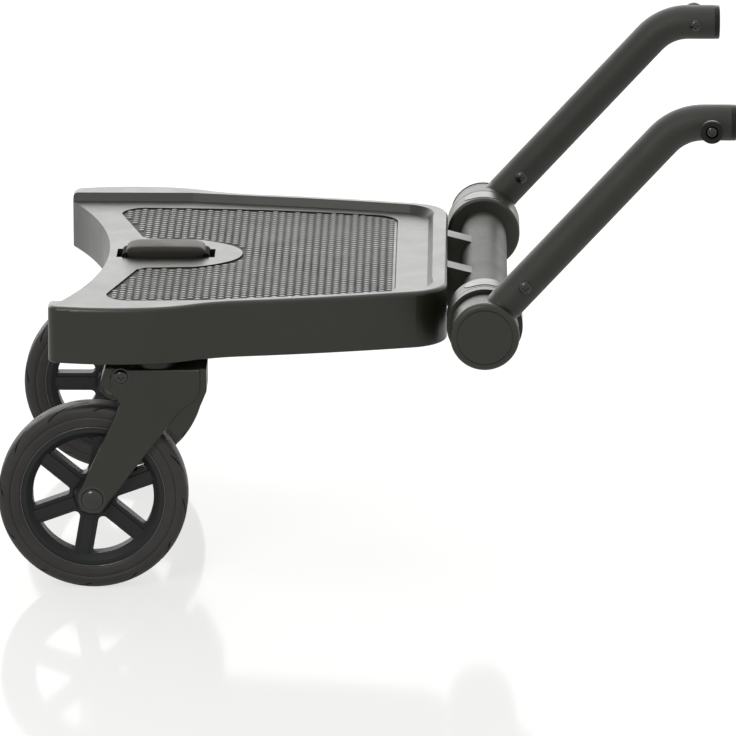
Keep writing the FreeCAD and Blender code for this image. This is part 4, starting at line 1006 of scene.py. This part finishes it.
@dataclass
class Wheel:
    """A spoked rim with a treaded tyre.

    A row of the profile is a radius, a half width and the degrees by which its point leads.
    """

    workshop: Workshop
    side: Side
    steps: int = 144
    groove_every: int = 12
    groove_rim: float = 0.3 * MM
    groove_depth: float = 1.4 * MM
    bead_radius: float = 57.8 * MM
    bead_half: float = 0.55 * MM
    bead_reach: float = 11.0 * MM
    tread_from_mm: float = 71.0
    groove_from_mm: float = 72.0
    centre_rib_mm: float = 1.2
    profile_mm: tuple[tuple[float, float, float], ...] = (
        (61.6, 9.0, 0.0),
        (61.6, 10.7, 0.0),
        (58.6, 10.7, 0.0),
        (58.1, 11.2, 0.0),
        (58.5, 11.9, 0.0),
        (60.2, 12.3, 0.0),
        (62.4, 12.7, 0.0),
        (63.6, 13.0, 0.0),
        (65.6, 13.0, 0.0),
        (66.3, 12.4, 0.0),
        (67.0, 13.0, 0.0),
        (69.6, 13.0, 0.0),
        (71.6, 12.7, 0.0),
        (73.4, 11.9, 3.0),
        (75.0, 10.3, 8.0),
        (75.8, 8.2, 13.0),
        (76.0, 6.0, 18.0),
        (76.0, 1.2, 27.0),
    )

    def build(self) -> None:
        """Dress the rim and its bush, and make the tyre and the beads."""
        self.workshop.dress(self.side.node("rim"), RIM)
        self.workshop.dress(self.side.node("wheel_bush"), BUSH)
        shape = bmesh.new()
        self._turn_profile(shape)
        self._cut_grooves(shape)
        bmesh.ops.recalc_face_normals(shape, faces=shape.faces)
        name = self.side.node("treaded_tyre")
        body = self.side.node("wheel")
        piece = self.workshop.piece(shape, name, TYRE, body, "tyre_rubber", sharp_deg=50.0)
        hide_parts(self.side.node("tyre"))
        self._beads()

    def _beads(self) -> None:
        """A thin polished ring on each face of the rim, where the tyre ends."""
        shape = bmesh.new()
        for sign in (-1, 1):
            outward = Vector((0, sign, 0))
            bead = ring(self.bead_radius, self.bead_half, self.bead_half)
            join(shape, bead, face_along(outward, self._centre() + outward * self.bead_reach))
        name = self.side.node("rim_beads")
        self.workshop.piece(shape, name, BEAD, self.side.node("wheel"), "rim_plastic")

    def _centre(self) -> Vector:
        """Centre of the wheel."""
        return middle(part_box(self.side.node("tyre")))

    def _turn_profile(self, shape: bmesh.types.BMesh) -> None:
        """Spin the tyre's section round the axle, its tread points leading by their angles.

        Args:
            shape: The empty shape to fill.
        """
        centre = self._centre()
        near = [(radius, -width, lead) for radius, width, lead in self.profile_mm]
        far = [(radius, width, lead) for radius, width, lead in reversed(self.profile_mm)]
        corners = []
        for radius, width, lead in near + far:
            spoke = Matrix.Rotation(math.radians(lead), 3, "Y") @ Vector((radius * MM, 0.0, 0.0))
            corners.append(shape.verts.new(centre + spoke + Vector((0.0, width * MM, 0.0))))
        rim = [shape.edges.new(pair) for pair in zip(corners, corners[1:] + corners[:1])]
        bmesh.ops.spin(
            shape,
            geom=corners + rim,
            cent=centre,
            axis=(0, 1, 0),
            angle=2 * math.pi,
            steps=self.steps,
            use_merge=True,
        )

    def _lead_at(self, width: float) -> float:
        """Angle in degrees by which the tread leads at a distance from the wheel's middle."""
        tread = [row for row in self.profile_mm if row[0] > self.tread_from_mm]
        points = sorted((half, lead) for radius, half, lead in tread)
        for (inner, inner_lead), (outer, outer_lead) in zip(points, points[1:]):
            if inner <= width <= outer:
                return inner_lead + (outer_lead - inner_lead) * (width - inner) / (outer - inner)
        return 0.0

    def _cut_grooves(self, shape: bmesh.types.BMesh) -> None:
        """Sink slanted grooves into the tread.

        Args:
            shape: The turned tyre.
        """
        centre = self._centre()
        turn = 360.0 / self.steps
        chosen = []
        for face in shape.faces:
            spot = (face.calc_center_median() - centre) / MM
            width = abs(spot.y)
            if math.hypot(spot.x, spot.z) < self.groove_from_mm or width < self.centre_rib_mm:
                continue
            angle = math.degrees(math.atan2(-spot.z, spot.x)) - self._lead_at(width)
            if math.floor(angle / turn) % self.groove_every == 0:
                chosen.append(face)
        bmesh.ops.recalc_face_normals(shape, faces=shape.faces)
        bmesh.ops.inset_region(
            shape, faces=chosen, thickness=self.groove_rim, depth=-self.groove_depth, use_even_offset=True
        )


@dataclass
class Caster:
    """A fork with its stem, axle and cross screw."""

    workshop: Workshop
    side: Side
    axle_shank: float = 5.0 * MM
    axle_head_radius: float = 8.8 * MM
    axle_head_height: float = 3.6 * MM
    axle_washer: float = 10.9 * MM
    screw_shank: float = 2.5 * MM
    screw_head_radius: float = 5.8 * MM
    screw_head_height: float = 3.0 * MM
    screw_washer: float = 6.6 * MM
    screw_cross: float = 2.6 * MM

    def build(self) -> None:
        """Dress the caster's solids and give its screws their heads."""
        finishes = {"fork": FORK, "kingpin": STEEL, "axle_nut": SCREW}
        for node, finish in finishes.items():
            self.workshop.dress(self.side.node(node), finish)
        screws = ScrewMaker(self.workshop)
        body = self.side.node("caster")
        axle = self.side.node("axle")
        axle_head = DomedHead(self.axle_head_radius, self.axle_head_height)
        screws.side_screw(axle, body, self.side, self.axle_shank, axle_head, self.axle_washer)
        screw = self.side.node("fork_screw")
        screw_head = DomedHead(self.screw_head_radius, self.screw_head_height, self.screw_cross)
        screws.side_screw(screw, body, self.side, self.screw_shank, screw_head, self.screw_washer)


@dataclass
class AngleJoint:
    """The fixed collar, its pin and its push button."""

    workshop: Workshop
    side: Side

    def build(self) -> None:
        """Dress the joint's solids."""
        finishes = {"collar": JOINT, "hinge_pin": STEEL, "button": BUTTON}
        for node, finish in finishes.items():
            self.workshop.dress(self.side.node(node), finish)


@dataclass
class Arm:
    """A bent tube with its knuckle, cap, plug, peg and bolts."""

    workshop: Workshop
    side: Side
    shank: float = 2.5 * MM
    arm_head_radius: float = 5.0 * MM
    peg_head_radius: float = 4.8 * MM
    head_height: float = 2.2 * MM
    head_cross: float = 2.4 * MM
    slope_deg: float = 47.5
    tube_radius: float = 14.25 * MM
    bolt_setback: float = 22.0 * MM
    band_half: float = 0.7 * MM
    band_proud: float = 0.3 * MM

    def build(self) -> None:
        """Dress the arm's solids, give its bolts their heads and band its neck."""
        finishes = {
            "arm_tube": TUBE,
            "knuckle": JOINT,
            "hinge_cap": JOINT,
            "peg": PEG,
            "tube_plug": PEG,
        }
        for node, finish in finishes.items():
            self.workshop.dress(self.side.node(node), finish)
        screws = ScrewMaker(self.workshop)
        body = self.side.node("arm")
        arm_head = DomedHead(self.arm_head_radius, self.head_height, self.head_cross)
        peg_head = DomedHead(self.peg_head_radius, self.head_height, self.head_cross)
        screws.cross_bolt(self.side.node("arm_bolt"), body, self.shank, arm_head, arm_head)
        screws.cross_bolt(self.side.node("peg_bolt"), body, self.shank, peg_head, peg_head)
        self._neck_band()

    def _neck_band(self) -> None:
        """A narrow band where the tube enters the knuckle."""
        bolt = middle(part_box(self.side.node("arm_bolt")))
        slope = math.radians(self.slope_deg)
        up_tube = Vector((math.cos(slope), 0.0, math.sin(slope)))
        shape = bmesh.new()
        band = ring(self.tube_radius - self.band_half, self.band_half, self.band_half + self.band_proud)
        join(shape, band, face_along(up_tube, bolt - up_tube * self.bolt_setback))
        name = self.side.node("neck_band")
        self.workshop.piece(shape, name, JOINT, self.side.node("arm"), "joint_plastic")


# Studio


@dataclass
class SoftBox:
    """One soft lamp."""

    name: str
    place: Vector
    width: float
    height: float
    watts: float

    def build(self, target: Vector) -> None:
        """Hang the lamp and point it.

        Args:
            target: The point it faces.
        """
        lamp = bpy.data.lights.new(self.name, "AREA")
        lamp.shape = "RECTANGLE"
        lamp.size = self.width
        lamp.size_y = self.height
        lamp.energy = self.watts
        item = bpy.data.objects.new(self.name, lamp)
        item.location = self.place
        item.rotation_euler = (target - self.place).to_track_quat("-Z", "Y").to_euler()
        bpy.context.scene.collection.objects.link(item)


@dataclass
class Studio:
    """White floor and surroundings, soft lamps and the camera."""

    target: Vector
    distance: float = 5.5
    azimuth_deg: float = 0.7687
    elevation_deg: float = 15.5555
    lens_mm: float = 327.23
    sensor_mm: float = 36.0
    far_clip: float = 100.0
    floor_size: float = 24.0
    floor_colour: Colour = (0.9, 0.9, 0.885)
    floor_glow: float = 0.7
    floor_gloss: float = 0.08
    floor_sheen: float = 0.28
    glow_colour: Colour = (1.0, 1.0, 0.985)
    sky_colour: Colour = (1.0, 1.0, 0.99)
    ambient: float = 0.3

    def build(self) -> None:
        """Set up the floor, the light and the camera."""
        bpy.context.scene.view_settings.view_transform = "Standard"
        self._floor()
        self._sky()
        self._lamps()
        self._camera()

    def _camera(self) -> None:
        """Place the camera at the viewing angle."""
        azimuth = math.radians(self.azimuth_deg)
        elevation = math.radians(self.elevation_deg)
        back = Vector(
            (
                math.sin(azimuth) * math.cos(elevation),
                -math.cos(azimuth) * math.cos(elevation),
                math.sin(elevation),
            )
        )
        lens = bpy.data.cameras.new("camera")
        lens.lens = self.lens_mm
        lens.sensor_width = self.sensor_mm
        lens.sensor_fit = "HORIZONTAL"
        lens.clip_end = self.far_clip
        item = bpy.data.objects.new("camera", lens)
        item.location = self.target + back * self.distance
        item.rotation_euler = (-back).to_track_quat("-Z", "Y").to_euler()
        bpy.context.scene.collection.objects.link(item)
        bpy.context.scene.camera = item

    def _floor(self) -> None:
        """Lay a pale, slightly glossy floor that is clear from underneath."""
        shape = bmesh.new()
        bmesh.ops.create_grid(shape, x_segments=1, y_segments=1, size=self.floor_size / 2)
        mesh = bpy.data.meshes.new("floor")
        shape.to_mesh(mesh)
        shape.free()
        item = bpy.data.objects.new("floor", mesh)
        bpy.context.scene.collection.objects.link(item)
        material = bpy.data.materials.new("floor_white")
        material.use_nodes = True
        tree = material.node_tree
        shader = tree.nodes["Principled BSDF"]
        shader.inputs["Base Color"].default_value = (*self.floor_colour, 1.0)
        shader.inputs["Roughness"].default_value = self.floor_gloss
        shader.inputs["Specular IOR Level"].default_value = self.floor_sheen
        glow = tree.nodes.new("ShaderNodeEmission")
        glow.inputs["Color"].default_value = (*self.glow_colour, 1.0)
        mix = tree.nodes.new("ShaderNodeMixShader")
        seen = self._seen_by_eye(tree)
        share = tree.nodes.new("ShaderNodeMath")
        share.operation = "MULTIPLY"
        share.inputs[1].default_value = self.floor_glow
        tree.links.new(seen, share.inputs[0])
        tree.links.new(share.outputs["Value"], mix.inputs["Fac"])
        tree.links.new(shader.outputs["BSDF"], mix.inputs[1])
        tree.links.new(glow.outputs["Emission"], mix.inputs[2])
        clear = tree.nodes.new("ShaderNodeBsdfTransparent")
        sides = tree.nodes.new("ShaderNodeMixShader")
        under = tree.nodes.new("ShaderNodeNewGeometry").outputs["Backfacing"]
        tree.links.new(under, sides.inputs["Fac"])
        tree.links.new(mix.outputs["Shader"], sides.inputs[1])
        tree.links.new(clear.outputs["BSDF"], sides.inputs[2])
        tree.links.new(sides.outputs["Shader"], tree.nodes["Material Output"].inputs["Surface"])
        mesh.materials.append(material)

    @staticmethod
    def _seen_by_eye(tree: bpy.types.NodeTree) -> bpy.types.NodeSocket:
        """A mask that is 1 for what the camera, a reflection or a clear piece shows.

        Args:
            tree: The nodes to add it to.

        Returns:
            The mask's socket.
        """
        path = tree.nodes.new("ShaderNodeLightPath")
        total = path.outputs["Is Camera Ray"]
        for name in ("Is Glossy Ray", "Is Transmission Ray"):
            either = tree.nodes.new("ShaderNodeMath")
            either.operation = "MAXIMUM"
            tree.links.new(total, either.inputs[0])
            tree.links.new(path.outputs[name], either.inputs[1])
            total = either.outputs["Value"]
        return total

    def _sky(self) -> None:
        """White surroundings, dimmer where they only light the board."""
        world = bpy.data.worlds.new("studio")
        bpy.context.scene.world = world
        world.use_nodes = True
        tree = world.node_tree
        light = tree.nodes["Background"]
        light.inputs["Color"].default_value = (*self.sky_colour, 1.0)
        light.inputs["Strength"].default_value = self.ambient
        white = tree.nodes.new("ShaderNodeBackground")
        white.inputs["Color"].default_value = (*self.sky_colour, 1.0)
        white.inputs["Strength"].default_value = 1.0
        mix = tree.nodes.new("ShaderNodeMixShader")
        tree.links.new(self._seen_by_eye(tree), mix.inputs["Fac"])
        tree.links.new(light.outputs["Background"], mix.inputs[1])
        tree.links.new(white.outputs["Background"], mix.inputs[2])
        tree.links.new(mix.outputs["Shader"], tree.nodes["World Output"].inputs["Surface"])

    def _lamps(self) -> None:
        """Hang a broad lamp behind the board, one above it and a smaller one in front."""
        lamps = (
            SoftBox("back_softbox", Vector((-0.3, 2.1, 1.2)), 4.4, 2.2, 66.0),
            SoftBox("top_softbox", Vector((0.0, 0.2, 2.6)), 2.6, 2.2, 18.0),
            SoftBox("front_softbox", Vector((-0.9, -2.2, 1.9)), 0.85, 0.85, 21.0),
        )
        for lamp in lamps:
            lamp.build(self.target)


def assemblies(workshop: Workshop) -> Iterable[Assembly]:
    """Every sub-assembly of the board, in building order.

    Args:
        workshop: What makes and dresses the pieces.

    Returns:
        The sub-assemblies.
    """
    yield Board(workshop)
    yield LiftHandle(workshop)
    for side in Side:
        yield AngleJoint(workshop, side)
        yield Caster(workshop, side)
        yield Wheel(workshop, side)
        yield Arm(workshop, side)


def main() -> None:
    """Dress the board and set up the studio."""
    logging.basicConfig(level=logging.INFO, format="%(message)s")
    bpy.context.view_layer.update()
    Studio(Vector(BOARD_MIDDLE)).build()
    for assembly in assemblies(Workshop()):
        assembly.build()


if __name__ == "__main__":
    main()
